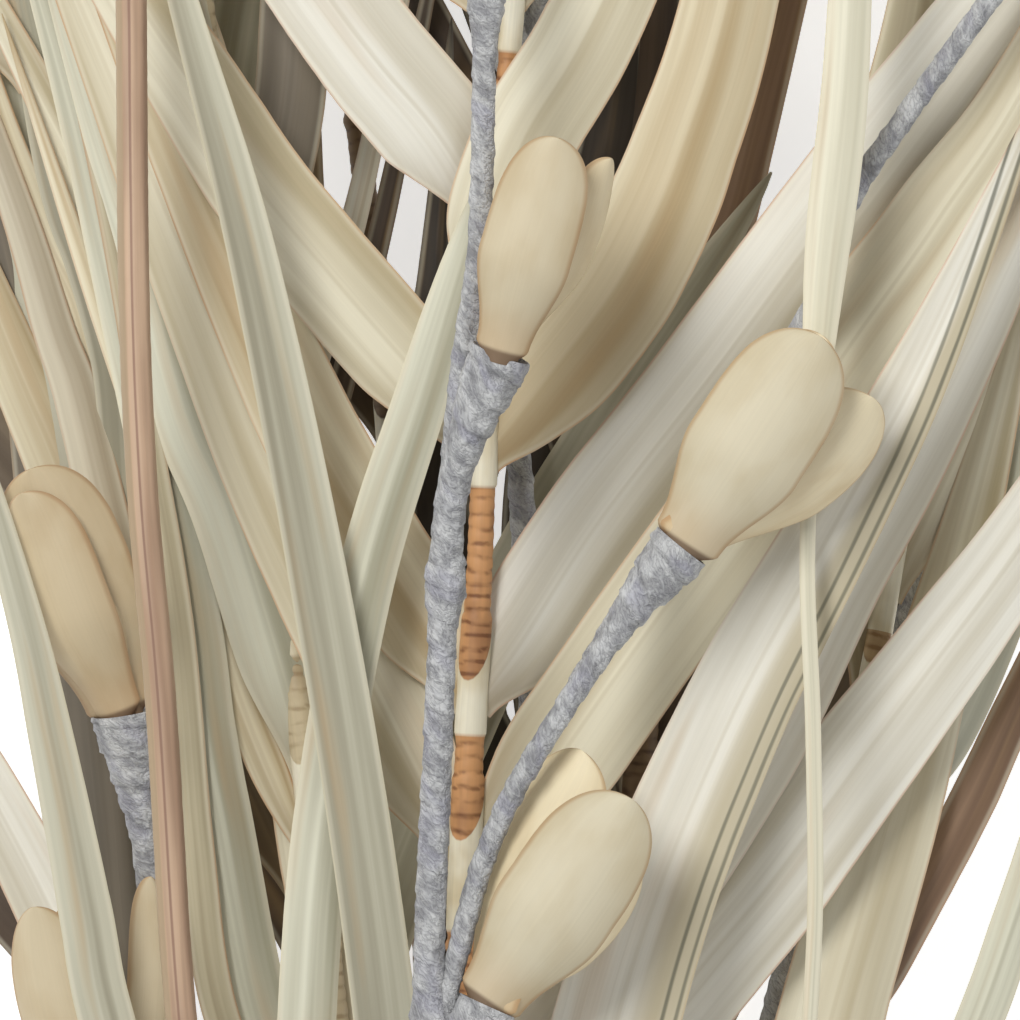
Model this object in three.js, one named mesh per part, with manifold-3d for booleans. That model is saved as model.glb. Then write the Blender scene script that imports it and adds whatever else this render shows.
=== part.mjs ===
// A bunch of dried leafy stems and pod-bearing twigs, tied near the cut ends and laid on a table.
// Millimetres, +Z up. The bunch lies along +Y, tips away from the cut ends, as seen from above.
// Places are measured from the middle of the tie, on the table; the last lines move the origin.
import * as THREE from 'three';
import { mergeVertices } from 'three/addons/utils/BufferGeometryUtils.js';
import Module from 'manifold-3d';

const wasm = await Module();
wasm.setup();

// ---------------------------------------------------------------- driving sizes
const HEAD = 385; // from the tie to the middle of the leafy head
const CUT = 132; // from the tie to the cut ends
const CUT_SPREAD = 1.7; // how far the cut ends stand apart, against the tie
const STEM_RADIUS = 2.6; // leafy stem
const STEM_SIDES = 5;
const LEAF_THICK = 1.3; // at the midrib
const LEAF_RIM = 0.6;
const FLAT_THICK = 0.8; // of a narrow leaf, or one underneath, which has no fold
const NARROW = 11.8;
const LEAF_ROWS = 4;
const LIFT_STEP = 1.5;
const LIFTED_BY = 0.35; // where along it a leaf reaches its lift
const LEAF_FOLD = 0.18; // height of the fold, against half the width
const TWIG_RADIUS = 2.9; // paper-wrapped main twig
const TWIG_SIDES = 6;
const TWIG_STEP = 42;
const CALYX_RADIUS = 5.6;
const CALYX_LENGTH = 22;
const PETAL_LENGTH = 40;
const PETAL_WIDTH = 20;
const PETAL_THICK = 1.8;
const PETAL_RIM = 0.7;
const PETAL_COLUMNS = 3;
const PETAL_ROWS = 4;
const POD_BELLY = 8.2; // how far a petal's back stands from the pod's axis
const ROOT_RADIUS = 3.4; // the same at its root
const PETAL_CUP = 0.4;
const TIP_TUCK = 1.5; // how far its tip bends back in
const TIP_BLUNT = 0.42; // width at its tip, against the widest
const SEAT_RADIUS = 4.6;
const SEAT_HEIGHT = 4.5;
const SEAT_FOOT = 0.9; // its width at the calyx, against its top
const ROOT_DEPTH = 1;
const POD_GAP = 0.8; // between the calyx and the petals
const TIE_WALL = 2.4;
const TIE_TURNS = 4;
const TURN_PITCH = 3.4;

// ---------------------------------------------------------------- how the bunch lies
// A point is [across, along, layer]. Along is measured from the middle of the head. A layer is the
// height that a piece has where the bunch is thickest, and layers keep their order everywhere.
const TIE_SQUEEZE = 0.25;
const TIE_LIFT = 3;
const HEAD_START = 235;
const TIPS = { from: 480, to: 720, sink: 0.22 }; // the heap gets lower towards the tips
const FLANKS = { from: 50, to: 230, sink: 0.5 }; // and towards both sides
const SWELL = { height: 0.035, across: 37, along: 61 };
const smooth = (a, b, v) => THREE.MathUtils.smoothstep(v, a, b);
const lerp = THREE.MathUtils.lerp;

function heightAt(x, y, layer) {
  const grown = smooth(0, HEAD_START, y);
  const lengthwise = lerp(TIE_SQUEEZE, 1, grown) * (1 - TIPS.sink * smooth(TIPS.from, TIPS.to, y));
  const sideways = 1 - FLANKS.sink * smooth(FLANKS.from, FLANKS.to, Math.abs(x));
  const swell = 1 + SWELL.height * Math.sin(x / SWELL.across + 1) * Math.sin(y / SWELL.along) * grown;
  return TIE_LIFT * (1 - grown) + layer * lengthwise * sideways * swell;
}

function pathOf(points, layer) {
  return new THREE.CatmullRomCurve3(
    points.map(([x, y, own]) => new THREE.Vector3(x, y + HEAD, own ?? layer)), false, 'catmullrom', 0.5);
}

function onPath(path, t) {
  const p = path.getPoint(t);
  return new THREE.Vector3(p.x, p.y, heightAt(p.x, p.y, p.z));
}

const UP = new THREE.Vector3(0, 0, 1);
const STEP = 1e-3;

// Place, direction, side and upper side of a piece at t along its path, turned by roll degrees.
function frameAt(path, t, roll = 0) {
  const at = onPath(path, t);
  const along = onPath(path, Math.min(1, t + STEP)).sub(onPath(path, Math.max(0, t - STEP))).normalize();
  const side = along.clone().cross(UP).normalize();
  const turn = THREE.MathUtils.degToRad(roll);
  side.applyAxisAngle(along, turn);
  return { at, along, side, top: side.clone().cross(along) };
}

// ---------------------------------------------------------------- shapes
function solidOf(geometry) {
  const g = geometry.clone();
  g.deleteAttribute('normal');
  g.deleteAttribute('uv');
  const merged = mergeVertices(g, 1e-4);
  return new wasm.Manifold(new wasm.Mesh({
    numProp: 3,
    vertProperties: new Float32Array(merged.attributes.position.array),
    triVerts: new Uint32Array(merged.index.array),
  }));
}

// One body: a hollow that crossing leaves seal is filled, and a loose scrap is dropped.
function joined(solids) {
  const whole = solids.reduce((all, next) => all.add(next));
  return whole.decompose().reduce((best, piece) => (piece.volume() > best.volume() ? piece : best));
}

function meshOf(name, solid, material) {
  const m = solid.getMesh();
  const g = new THREE.BufferGeometry();
  g.setAttribute('position', new THREE.BufferAttribute(new Float32Array(m.vertProperties), 3));
  g.setIndex(new THREE.BufferAttribute(new Uint32Array(m.triVerts), 1));
  g.computeVertexNormals();
  const mesh = new THREE.Mesh(g, material);
  mesh.name = name;
  return mesh;
}

function moveVertices(geometry, place) {
  const at = geometry.attributes.position;
  for (let i = 0; i < at.count; i++) {
    const p = place(at.getX(i), at.getY(i), at.getZ(i));
    at.setXYZ(i, p.x, p.y, p.z);
  }
  return geometry;
}

// A thin blade: two grids split into triangles alike, joined round their rims.
// place(s, t, face) gives the point at s across (-1 to 1) and t along (0 to 1) on face 1 or -1.
function sheetSolid(columns, rows, place) {
  const grid = new THREE.PlaneGeometry(2, 1, columns, rows);
  const count = grid.attributes.position.count;
  const [front, back] = [1, -1].map((face) =>
    moveVertices(grid.clone(), (s, y) => place(s, y + 0.5, face)).attributes.position.array);
  const faces = grid.index.array;
  const index = [...faces];
  for (let i = 0; i < faces.length; i += 3) {
    index.push(faces[i] + count, faces[i + 2] + count, faces[i + 1] + count);
  }
  const rim = [];
  for (let i = 0; i < columns; i++) rim.push(i);
  for (let j = 0; j < rows; j++) rim.push(columns + j * (columns + 1));
  for (let i = columns; i > 0; i--) rim.push(rows * (columns + 1) + i);
  for (let j = rows; j > 0; j--) rim.push(j * (columns + 1));
  rim.forEach((a, k) => {
    const b = rim[(k + 1) % rim.length];
    index.push(a, b, b + count, a, b + count, a + count);
  });
  const sheet = new THREE.BufferGeometry();
  sheet.setAttribute('position', new THREE.BufferAttribute(Float32Array.from([...front, ...back]), 3));
  sheet.setIndex(index);
  return solidOf(sheet);
}

// A round rod along a path, closed at both ends.
function rodSolid(path, radiusAt, sides, steps) {
  const rod = new THREE.CylinderGeometry(1, 1, 1, sides, steps);
  return solidOf(moveVertices(rod, (x, y, z) => {
    const t = 0.5 + y;
    const f = frameAt(path, t);
    const r = radiusAt(t);
    return f.at.addScaledVector(f.side, x * r).addScaledVector(f.top, z * r);
  }));
}

// ---------------------------------------------------------------- leaves
const LEAF_NECK = 0.32; // width at the root, against the widest
const LEAF_FULL = 0.2; // where along it a leaf reaches its full width
const LEAF_TAPER = 4; // the more, the blunter the tip
const TIP_POWER = 0.85;
const TIP_SHARE = 0.03;
const tipOutline = (t, taper) => Math.pow(1 - Math.pow(t, taper), TIP_POWER);
const leafOutline = (t, taper = LEAF_TAPER, full = LEAF_FULL) =>
  (LEAF_NECK + (1 - LEAF_NECK) * smooth(0, full, t)) * tipOutline(t, taper) + TIP_SHARE;
// A strap is a leaf on a long thin stalk, which widens only above its middle.
const STRAP = { stalk: 0.26, from: 0.56, to: 0.74, taper: 6 };
const strapWidth = (t) => STRAP.stalk + (1 - STRAP.stalk) * smooth(STRAP.from, STRAP.to, t);
const strapOutline = (t) => strapWidth(t) * tipOutline(t, STRAP.taper) + TIP_SHARE;

// fold is above 0 for a roof and below 0 for a valley. lift is in steps over its own stem's layer.
// A narrow leaf is flat, and rows says how many pieces it bends in.
const leaf = (width, points, form = {}) => ({
  width, points, lift: 0, roll: [0, 0], fold: LEAF_FOLD, taper: LEAF_TAPER, full: LEAF_FULL, strap: false,
  flat: width < NARROW, ...form,
});

function leafSolid(one, layer, stemRows) {
  const path = pathOf(one.points, layer);
  return sheetSolid(one.flat ? 1 : 2, one.rows ?? stemRows, (s, t, face) => {
    const f = frameAt(path, t, lerp(one.roll[0], one.roll[1], t));
    const outline = one.strap ? strapOutline(t) : leafOutline(t, one.taper, one.full);
    const half = (one.width / 2) * outline;
    const crown = 1 - Math.abs(s);
    f.at.z += LIFT_STEP * one.lift * smooth(0, LIFTED_BY, t);
    f.at.addScaledVector(f.side, s * half);
    const thick = one.flat ? FLAT_THICK : lerp(LEAF_RIM, LEAF_THICK, crown);
    f.at.addScaledVector(f.top, one.fold * half * (crown - 0.5) + (face * thick) / 2);
    f.at.z = Math.max(f.at.z, face > 0 ? thick : 0);
    return f.at;
  });
}

// ---------------------------------------------------------------- leafy stems
// Places round the tie, in five rows from the table up.
const ROW = [5.7, 11.1, 16.5, 21.9, 27.3];
const ROW_STEP = 3.1;
const BELOW_TIE = { along: 45, spread: 1.15 };
const TIE_REACH = 12; // a stem runs straight through the tie, this far to both sides
const layerAtTie = (row) => (ROW[row] - TIE_LIFT) / TIE_SQUEEZE;

// The stretch from the cut end through the tie, the same for every stem.
function foot(row, place, cutMore = 0) {
  const x = place * ROW_STEP;
  const layer = layerAtTie(row);
  return [
    [x * CUT_SPREAD, -HEAD - CUT - cutMore, layer],
    [x * BELOW_TIE.spread, -HEAD - BELOW_TIE.along, layer],
    [x, -HEAD - TIE_REACH, layer],
    [x, -HEAD + TIE_REACH, layer],
  ];
}

const leafyStems = {
  // The middle stem: broad leaves in two ranks, spread flat like a fan.
  leafy_stem_middle: {
    layer: 78,
    rows: 5,
    stem: [...foot(3, 0), [-3, -280], [-6, -180], [-8, -90], [-7, -45], [-5, -7], [-3, 45], [1, 90],
      [5, 150], [9, 212]],
    leaves: [
      leaf(19.5, [[-7, -150], [4, -120], [18, -95], [33, -76], [44.5, -62], [58.8, -42.5], [72, -25],
        [88, -3], [112, 35], [140, 85]], { lift: -3, roll: [0, 4] }),
      leaf(19, [[-8, -108], [8, -86], [24, -64], [41, -37], [53.5, -12], [70, 17], [90, 60], [110, 118]],
        { lift: -2, roll: [0, 3] }),
      leaf(20, [[-8, -66], [4, -48], [22, -22], [45, 10], [58, 29], [72, 49], [90, 78], [122, 150]],
        { lift: 1, roll: [0, 3] }),
      leaf(19, [[-6, -33], [2, -22], [15, -2], [35, 24], [57, 54], [75, 78], [97, 108], [120, 158]],
        { lift: -2, roll: [2, 4] }),
      leaf(19, [[-4.5, 8.5], [0.5, 14], [7.5, 23], [17, 35.5], [23.5, 47], [29, 60], [36.5, 84],
        [44, 125], [48, 175], [46, 215]], { lift: 1, roll: [-6, 4], full: 0.27 }),
      leaf(17, [[-3, 33], [-3, 45], [2, 61], [11, 76], [18, 90], [31, 120], [48, 165], [62, 210]],
        { lift: 3, roll: [0, 4] }),
      leaf(17, [[0, 85], [12, 105], [30, 135], [54, 175], [76, 228]],
        { lift: -1, roll: [0, 6], rows: 4 }),
      leaf(15, [[3, 125], [14, 150], [28, 185], [40, 232], [46, 280]], { lift: 2, rows: 3 }),
      leaf(13, [[6, 165], [14, 195], [22, 240], [26, 296]], { lift: 1, rows: 3 }),
      leaf(17, [[-8, -60], [-17, -42], [-28, -20], [-40, 6], [-52, 36], [-66, 70], [-84, 112]],
        { lift: -3, roll: [0, -6], rows: 4 }),
      leaf(17, [[-7, -33], [-14, -20], [-24, -4], [-34, 14], [-45, 38], [-60, 72], [-80, 118]],
        { lift: -2, roll: [0, -6], rows: 4 }),
      leaf(17, [[-5, 9], [-15, 22], [-28, 37], [-42, 54], [-53, 71], [-64, 88], [-84, 122], [-106, 160]],
        { lift: 1, roll: [0, -6] }),
      leaf(19, [[-3, 48], [-12, 63], [-22, 75], [-31, 87], [-48, 111], [-71, 144], [-94, 188]],
        { lift: 1, roll: [5, -5] }),
      leaf(17, [[-2, 82], [-12, 100], [-26, 125], [-46, 160], [-64, 210]],
        { lift: -1, roll: [0, -5], rows: 4 }),
      leaf(15, [[1, 118], [-8, 140], [-20, 172], [-31, 215], [-36, 266]], { lift: 2, rows: 3 }),
      leaf(13, [[4, 158], [0, 185], [-7, 225], [-10, 278]], { lift: -1, rows: 3 }),
      leaf(12, [[9, 205], [11, 240], [12, 305]], { lift: 1, rows: 3 }),
    ],
  },
  // The front stem is short. Its long narrow leaves run up over the others.
  leafy_stem_front: {
    layer: 96,
    stem: [...foot(3, 2), [5, -300], [2, -240], [0, -200], [0, -172]],
    leaves: [
      leaf(10.5, [[0, -215], [-12, -165], [-18, -115], [-21, -83], [-27, -40], [-35, 5], [-44, 47],
        [-54, 83], [-70, 140]], { lift: 1, rows: 8 }),
      leaf(9.6, [[1, -240], [-22, -175], [-34, -115], [-33.8, -83], [-31, -50], [-24, -11], [-13.5, 23],
        [-3, 58]], { lift: -2.5, taper: 14, rows: 8 }),
      leaf(9.2, [[3, -240], [30, -175], [46, -115], [50.5, -75], [50.5, -38], [49.5, -5], [52, 35],
        [56, 75], [57, 120], [54, 172]], { lift: 2, strap: true, rows: 9 }),
      leaf(22.5, [[0, -200], [7, -145], [13.5, -104], [22.5, -70], [36.8, -35], [52.5, -5.7],
        [65.8, 18.3], [77, 42], [90, 72]], { lift: -2.5, fold: -0.2, taper: 1.95, rows: 7 }),
      leaf(9.2, [[1, -230], [-20, -190], [-44, -145], [-60, -108], [-67.7, -83], [-70.5, -68], [-73, -55],
        [-76.5, -38], [-81, -18], [-90, 12], [-106, 55]], { rows: 7 }),
    ],
  },
  leafy_stem_left_inner: {
    layer: 66,
    stem: [...foot(2, -1), [-13, -230], [-27, -110], [-36, -30], [-47, 50], [-57, 130], [-64, 196]],
    leaves: [
      leaf(11.5, [[-24, -135], [-34, -108], [-43, -84], [-49, -54], [-52, -37], [-54, -20], [-58, 2],
        [-65, 32], [-75, 72], [-88, 115]], { lift: 0.9 }),
      leaf(6, [[-25, -125], [-39, -106], [-49, -84], [-53, -55], [-56, -20], [-61, 12], [-68, 50],
        [-80, 100]], { lift: 2.4 }),
      leaf(6.5, [[-32.5, -62], [-39, -48], [-45.5, -32], [-51, -15], [-55.5, -5], [-62, 14], [-72, 42],
        [-86, 84]], { lift: -0.6 }),
      leaf(13, [[-34, -47], [-37.5, -32], [-42.5, -15], [-48, 2], [-53, 13], [-56.5, 24], [-60, 37],
        [-69, 64], [-82, 104]], { lift: 2.6 }),
      leaf(9, [[-37.5, -16], [-38.5, -5], [-41, 7], [-44.7, 18.5], [-47.5, 30], [-49, 49], [-53, 78],
        [-61, 118], [-71, 162]], { lift: 1.4 }),
      leaf(4.5, [[-41, 5], [-46.5, 18], [-49.5, 30], [-51, 42], [-52.5, 52], [-56, 72], [-64, 108]],
        { lift: -0.6 }),
      leaf(6.5, [[-38, -20], [-46, -3], [-51.5, 12], [-53.5, 27], [-54.7, 37], [-56.5, 48], [-58, 60],
        [-63, 88], [-72, 128]], { lift: 0.2 }),
      leaf(12, [[-45, 32], [-41, 50], [-37.5, 68], [-36.5, 84], [-37, 112], [-42, 150], [-47, 190]],
        { lift: -1 }),
      leaf(14, [[-47, 50], [-58, 85], [-75, 125], [-100, 170]],
        { lift: -2, roll: [0, -6], rows: 3, flat: true }),
      leaf(13, [[-53, 95], [-60, 135], [-73, 180], [-84, 228]], { lift: 1, rows: 3, flat: true }),
      leaf(12, [[-58, 135], [-54, 175], [-50, 222]], { lift: 2, rows: 3 }),
      leaf(12, [[-64, 190], [-68, 230], [-70, 285]], { rows: 3 }),
      leaf(12, [[-27, -105], [-32, -65], [-37, -35], [-46, 0], [-58, 28], [-76, 64], [-98, 106]],
        { lift: -2.4, roll: [0, -6], flat: true }),
    ],
  },
  leafy_stem_left_outer: {
    layer: 54,
    stem: [...foot(2, -3), [-25, -250], [-45, -150], [-58, -80], [-70, 0], [-82, 80], [-94, 150]],
    leaves: [
      leaf(13, [[-33, -205], [-47, -150], [-62, -106], [-79, -66], [-99, -30], [-124, 10]],
        { lift: -2, roll: [0, -6], flat: true }),
      leaf(11, [[-64, -42], [-70, -12], [-77, 8], [-83, 22], [-94, 48], [-114, 92]], { lift: -1 }),
      leaf(8, [[-60, -68], [-62, -38], [-66, -13], [-70.5, 7], [-74, 21], [-77.5, 31], [-84, 52],
        [-99, 92], [-116, 134]], { lift: 2.4 }),
      leaf(8, [[-65, -32], [-65, -5], [-66, 18], [-68, 30], [-71.5, 42], [-75, 51], [-78, 62], [-82, 82],
        [-91, 120], [-105, 168]], { lift: 3 }),
      leaf(5.5, [[-67, -22], [-69, 15], [-73, 34], [-78, 45], [-81.5, 54], [-86, 66], [-97, 98],
        [-112, 140]], { lift: 1.2 }),
      leaf(9, [[-70, -2], [-67, 28], [-67.5, 46], [-69, 58], [-71.5, 69], [-75, 82], [-83, 114],
        [-94, 160]], { lift: 2 }),
      leaf(6.5, [[-73, 22], [-67.5, 45], [-65.5, 60], [-66, 72], [-68.5, 88], [-74, 116], [-82, 156]],
        { lift: 1 }),
      leaf(16, [[-81, 72], [-97, 100], [-118, 134], [-145, 178]],
        { lift: -2, roll: [0, -6], rows: 3, flat: true }),
      leaf(15, [[-84, 92], [-100, 127], [-122, 167], [-142, 215]],
        { roll: [0, -5], rows: 3, flat: true }),
      leaf(13, [[-90, 122], [-98, 165], [-110, 225]], { lift: 2, rows: 3, flat: true }),
      leaf(12, [[-94, 148], [-92, 190], [-94, 250]], { lift: -1, rows: 3, flat: true }),
      leaf(20, [[-46, -150], [-59, -118], [-66.5, -83], [-70, -50], [-73.5, -20], [-80, 20], [-91, 66]],
        { lift: -3, flat: true }),
      leaf(15, [[-68, -12], [-77, 30], [-84, 70], [-92, 112], [-104, 158]], { lift: -3, flat: true }),
    ],
  },
  leafy_stem_right_outer: {
    layer: 61,
    stem: [...foot(2, 3), [22, -250], [40, -150], [54, -70], [68, 10], [84, 90], [98, 160]],
    leaves: [
      leaf(17, [[32, -195], [64, -160], [95.5, -120], [125, -70], [151, -10]],
        { lift: -2, roll: [0, 3] }),
      leaf(8, [[42, -150], [62, -120], [77, -92], [86, -68], [95, -40], [106, -5], [120, 46]],
        { lift: 1 }),
      leaf(8, [[52, -98], [64, -76], [77, -52], [85, -35], [98, -7], [117, 34]], { lift: -2 }),
      leaf(18, [[36, -172], [42, -138], [49, -108], [55, -83], [63.3, -55], [69.5, -33], [78, -2],
        [90, 45]], { lift: 2, fold: 0.2 }),
      leaf(14, [[56, -62], [70, -40], [80, -18], [84, -2], [87, 20], [92, 50], [104, 96]],
        { roll: [0, 3] }),
      leaf(14, [[64, -15], [78, 15], [90, 45], [104, 85], [118, 136]], { lift: 1, roll: [0, 5] }),
      leaf(15, [[72, 35], [88, 65], [108, 102], [130, 152]], { lift: -2, roll: [0, 6], rows: 3 }),
      leaf(14, [[82, 80], [98, 112], [118, 155], [134, 205]], { roll: [0, 6], rows: 3 }),
      leaf(13, [[92, 125], [104, 160], [118, 215]], { lift: 1, rows: 3, flat: true }),
      leaf(12, [[98, 156], [101, 200], [100, 258]], { lift: -1, rows: 3, flat: true }),
      leaf(14, [[60, -30], [58, 10], [62, 50], [70, 90], [76, 148]], { lift: 2 }),
      leaf(13, [[75, 45], [73, 85], [78, 130], [82, 190]], { lift: 2, rows: 3, flat: true }),
    ],
  },
};

// The four stems underneath follow one rule: leaves in two ranks, each leaving its stem at a
// narrow angle and curving outwards, except where the bunch has a gap that shows the table.
const GAPS = [
  [-30, 59, 2], [-18, 45, 4], [48, 72, 4], [-81, -34, 3], [-79, -55, 2], [76, -60, 5], [71, -78, 4],
  [80, -38, 2],
];
const UNDER_LEAVES = 10;
const UNDER_LIFTS = [2, -2, 1, -1];
const UNDER_ROLL = 6;
const UNDER_ROWS = 3;
const FIRST_LEAF = -185;
const LEAF_STEP = 39;
// The lowest leaf's value, the share of it lost at the top leaf, and the scatter.
const RANKED = {
  length: [218, 0.42, 0.1],
  width: [16.5, 0.25, 0.1],
  leave: [24, 0.45, 4],
  spread: [40, 0.6, 8],
};
const LAST_ROOT = 0.985;
const wobble = (i) => 2 * ((i * 0.618034) % 1) - 1; // even scatter from -1 to 1, the same on every run

function rankedLeaves(stem, layer, seed) {
  const path = pathOf(stem, layer);
  const leaves = [];
  for (let k = 0; k < UNDER_LEAVES; k++) {
    const want = HEAD + FIRST_LEAF + k * LEAF_STEP;
    let t = 0;
    while (t < 1 && path.getPoint(t).y < want) t += 0.004;
    t = Math.min(t, LAST_ROOT);
    const root = path.getPoint(t);
    const way = path.getPoint(Math.min(1, t + 0.01)).sub(path.getPoint(t - 0.01));
    const heading = Math.atan2(way.x, way.y);
    const side = (k + seed) % 2 ? 1 : -1;
    const nearTip = k / (UNDER_LEAVES - 1);
    const scaled = ([low, lost, scatter], i) => low * (1 - lost * nearTip) * (1 + scatter * wobble(i));
    const turned = ([low, lost, scatter], i) =>
      heading + side * THREE.MathUtils.degToRad(low * (1 - lost * nearTip) + scatter * wobble(i));
    const length = scaled(RANKED.length, k + 3 * seed);
    const width = scaled(RANKED.width, 11 * k + seed);
    const leave = turned(RANKED.leave, 7 * k + seed);
    const spread = turned(RANKED.spread, 5 * k + seed);
    const points = [[root.x, root.y - HEAD]];
    for (const [share, angle] of [[0.22, leave], [0.4, lerp(leave, spread, 0.6)], [0.38, spread]]) {
      const [x, y] = points[points.length - 1];
      points.push([x + share * length * Math.sin(angle), y + share * length * Math.cos(angle)]);
    }
    if (!coversGap(points, width)) {
      const lift = UNDER_LIFTS[k % 4];
      leaves.push(leaf(width, points, { flat: true, rows: UNDER_ROWS, lift, roll: [0, side * UNDER_ROLL] }));
    }
  }
  return leaves;
}

function coversGap(points, width) {
  const path = pathOf(points, 0);
  return GAPS.some(([x, y, radius]) => {
    for (let t = 0; t <= 1; t += 0.02) {
      const p = path.getPoint(t);
      if (Math.hypot(p.x - x, p.y - HEAD - y) < radius + (width / 2) * leafOutline(t)) return true;
    }
    return false;
  });
}

const underneath = {
  leafy_stem_under_left: {
    layer: 37, row: 1, place: -2, seed: 1,
    stem: [[-20, -200], [-34, -80], [-44, 0], [-56, 80], [-68, 150], [-76, 206]],
    more: [
      leaf(9, [[-38, -45], [-38, 0], [-36, 35], [-36, 58], [-37, 84], [-42, 130]], { lift: 1 }),
      leaf(4.6, [[-42, -12], [-36, 15], [-31, 33], [-27, 48], [-23.5, 63], [-18, 90], [-11, 130]],
        { lift: 2 }),
      leaf(4.2, [[-40, -30], [-32, 8], [-26, 32], [-22.5, 46], [-19, 62], [-14, 88], [-6, 124]],
        { lift: -1 }),
      leaf(7, [[-39, -40], [-26, -8], [-17, 14], [-13.5, 34], [-12, 52], [-10, 84]]),
    ],
  },
  leafy_stem_under_right: {
    layer: 27, row: 1, place: 2, seed: 2,
    stem: [[14, -200], [20, -80], [28, 20], [37, 52], [42, 72], [46, 92], [54, 150], [62, 210]],
    more: [
      leaf(15, [[18, -110], [14, -70], [8, -30], [6, 0], [10, 30], [18, 70], [22, 110]],
        { lift: 1, flat: true }),
      leaf(14, [[19, -90], [26, -40], [32, 0], [34, 25], [34, 55], [30, 100]], { lift: -1, flat: true }),
      leaf(13, [[17, -120], [6, -85], [-4, -50], [-10, -15], [-12, 12], [-8, 60]], { lift: -2, flat: true }),
      leaf(9, [[27, -20], [30.5, 15], [34.5, 38], [39, 55], [43, 71], [47, 86], [54, 114], [62, 152]],
        { lift: 2 }),
      leaf(11, [[21, -60], [21, 0], [22, 36], [24.5, 66], [26, 90], [28, 126]], { lift: 1 }),
    ],
  },
  leafy_stem_low_left: {
    layer: 17, row: 0, place: -1, seed: 5, more: [],
    stem: [[-8, -200], [-14, -80], [-21, 20], [-25, 55], [-29, 90], [-35, 150], [-41, 222]],
  },
  leafy_stem_low_right: {
    layer: 4.5, row: 0, place: 1, seed: 8, more: [],
    stem: [[4, -200], [8, -80], [12, 40], [14, 150], [16, 236]],
  },
};
const CUT_SCATTER = 6;
for (const [name, { layer, row, place, seed, stem, more }] of Object.entries(underneath)) {
  const whole = [...foot(row, place, CUT_SCATTER * wobble(seed)), ...stem];
  leafyStems[name] = { layer, stem: whole, leaves: [...rankedLeaves(whole, layer, seed), ...more] };
}

const STEM_NARROWS = { from: 0.45, share: 0.5 };

function leafyStemSolid({ layer, stem, leaves, rows = LEAF_ROWS }) {
  const path = pathOf(stem, layer);
  const radiusAt = (t) => STEM_RADIUS * (1 - STEM_NARROWS.share * smooth(STEM_NARROWS.from, 1, t));
  const rod = rodSolid(path, radiusAt, STEM_SIDES, stem.length + 2);
  return joined([rod, ...leaves.map((one) => leafSolid(one, layer, rows))]);
}

// ---------------------------------------------------------------- reed
const reed = {
  layer: 104,
  stem: [
    ...foot(4, -1), [-18, -285], [-37, -200], [-49, -130], [-54.7, -83], [-58, -32], [-61, 2], [-62.5, 35],
    [-63, 83], [-63.5, 140], [-67, 205], [-73, 262],
  ],
};
const REED_RADIUS = 2.6;
const REED_NARROWS = { from: 0.85, share: 0.35 };

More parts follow.
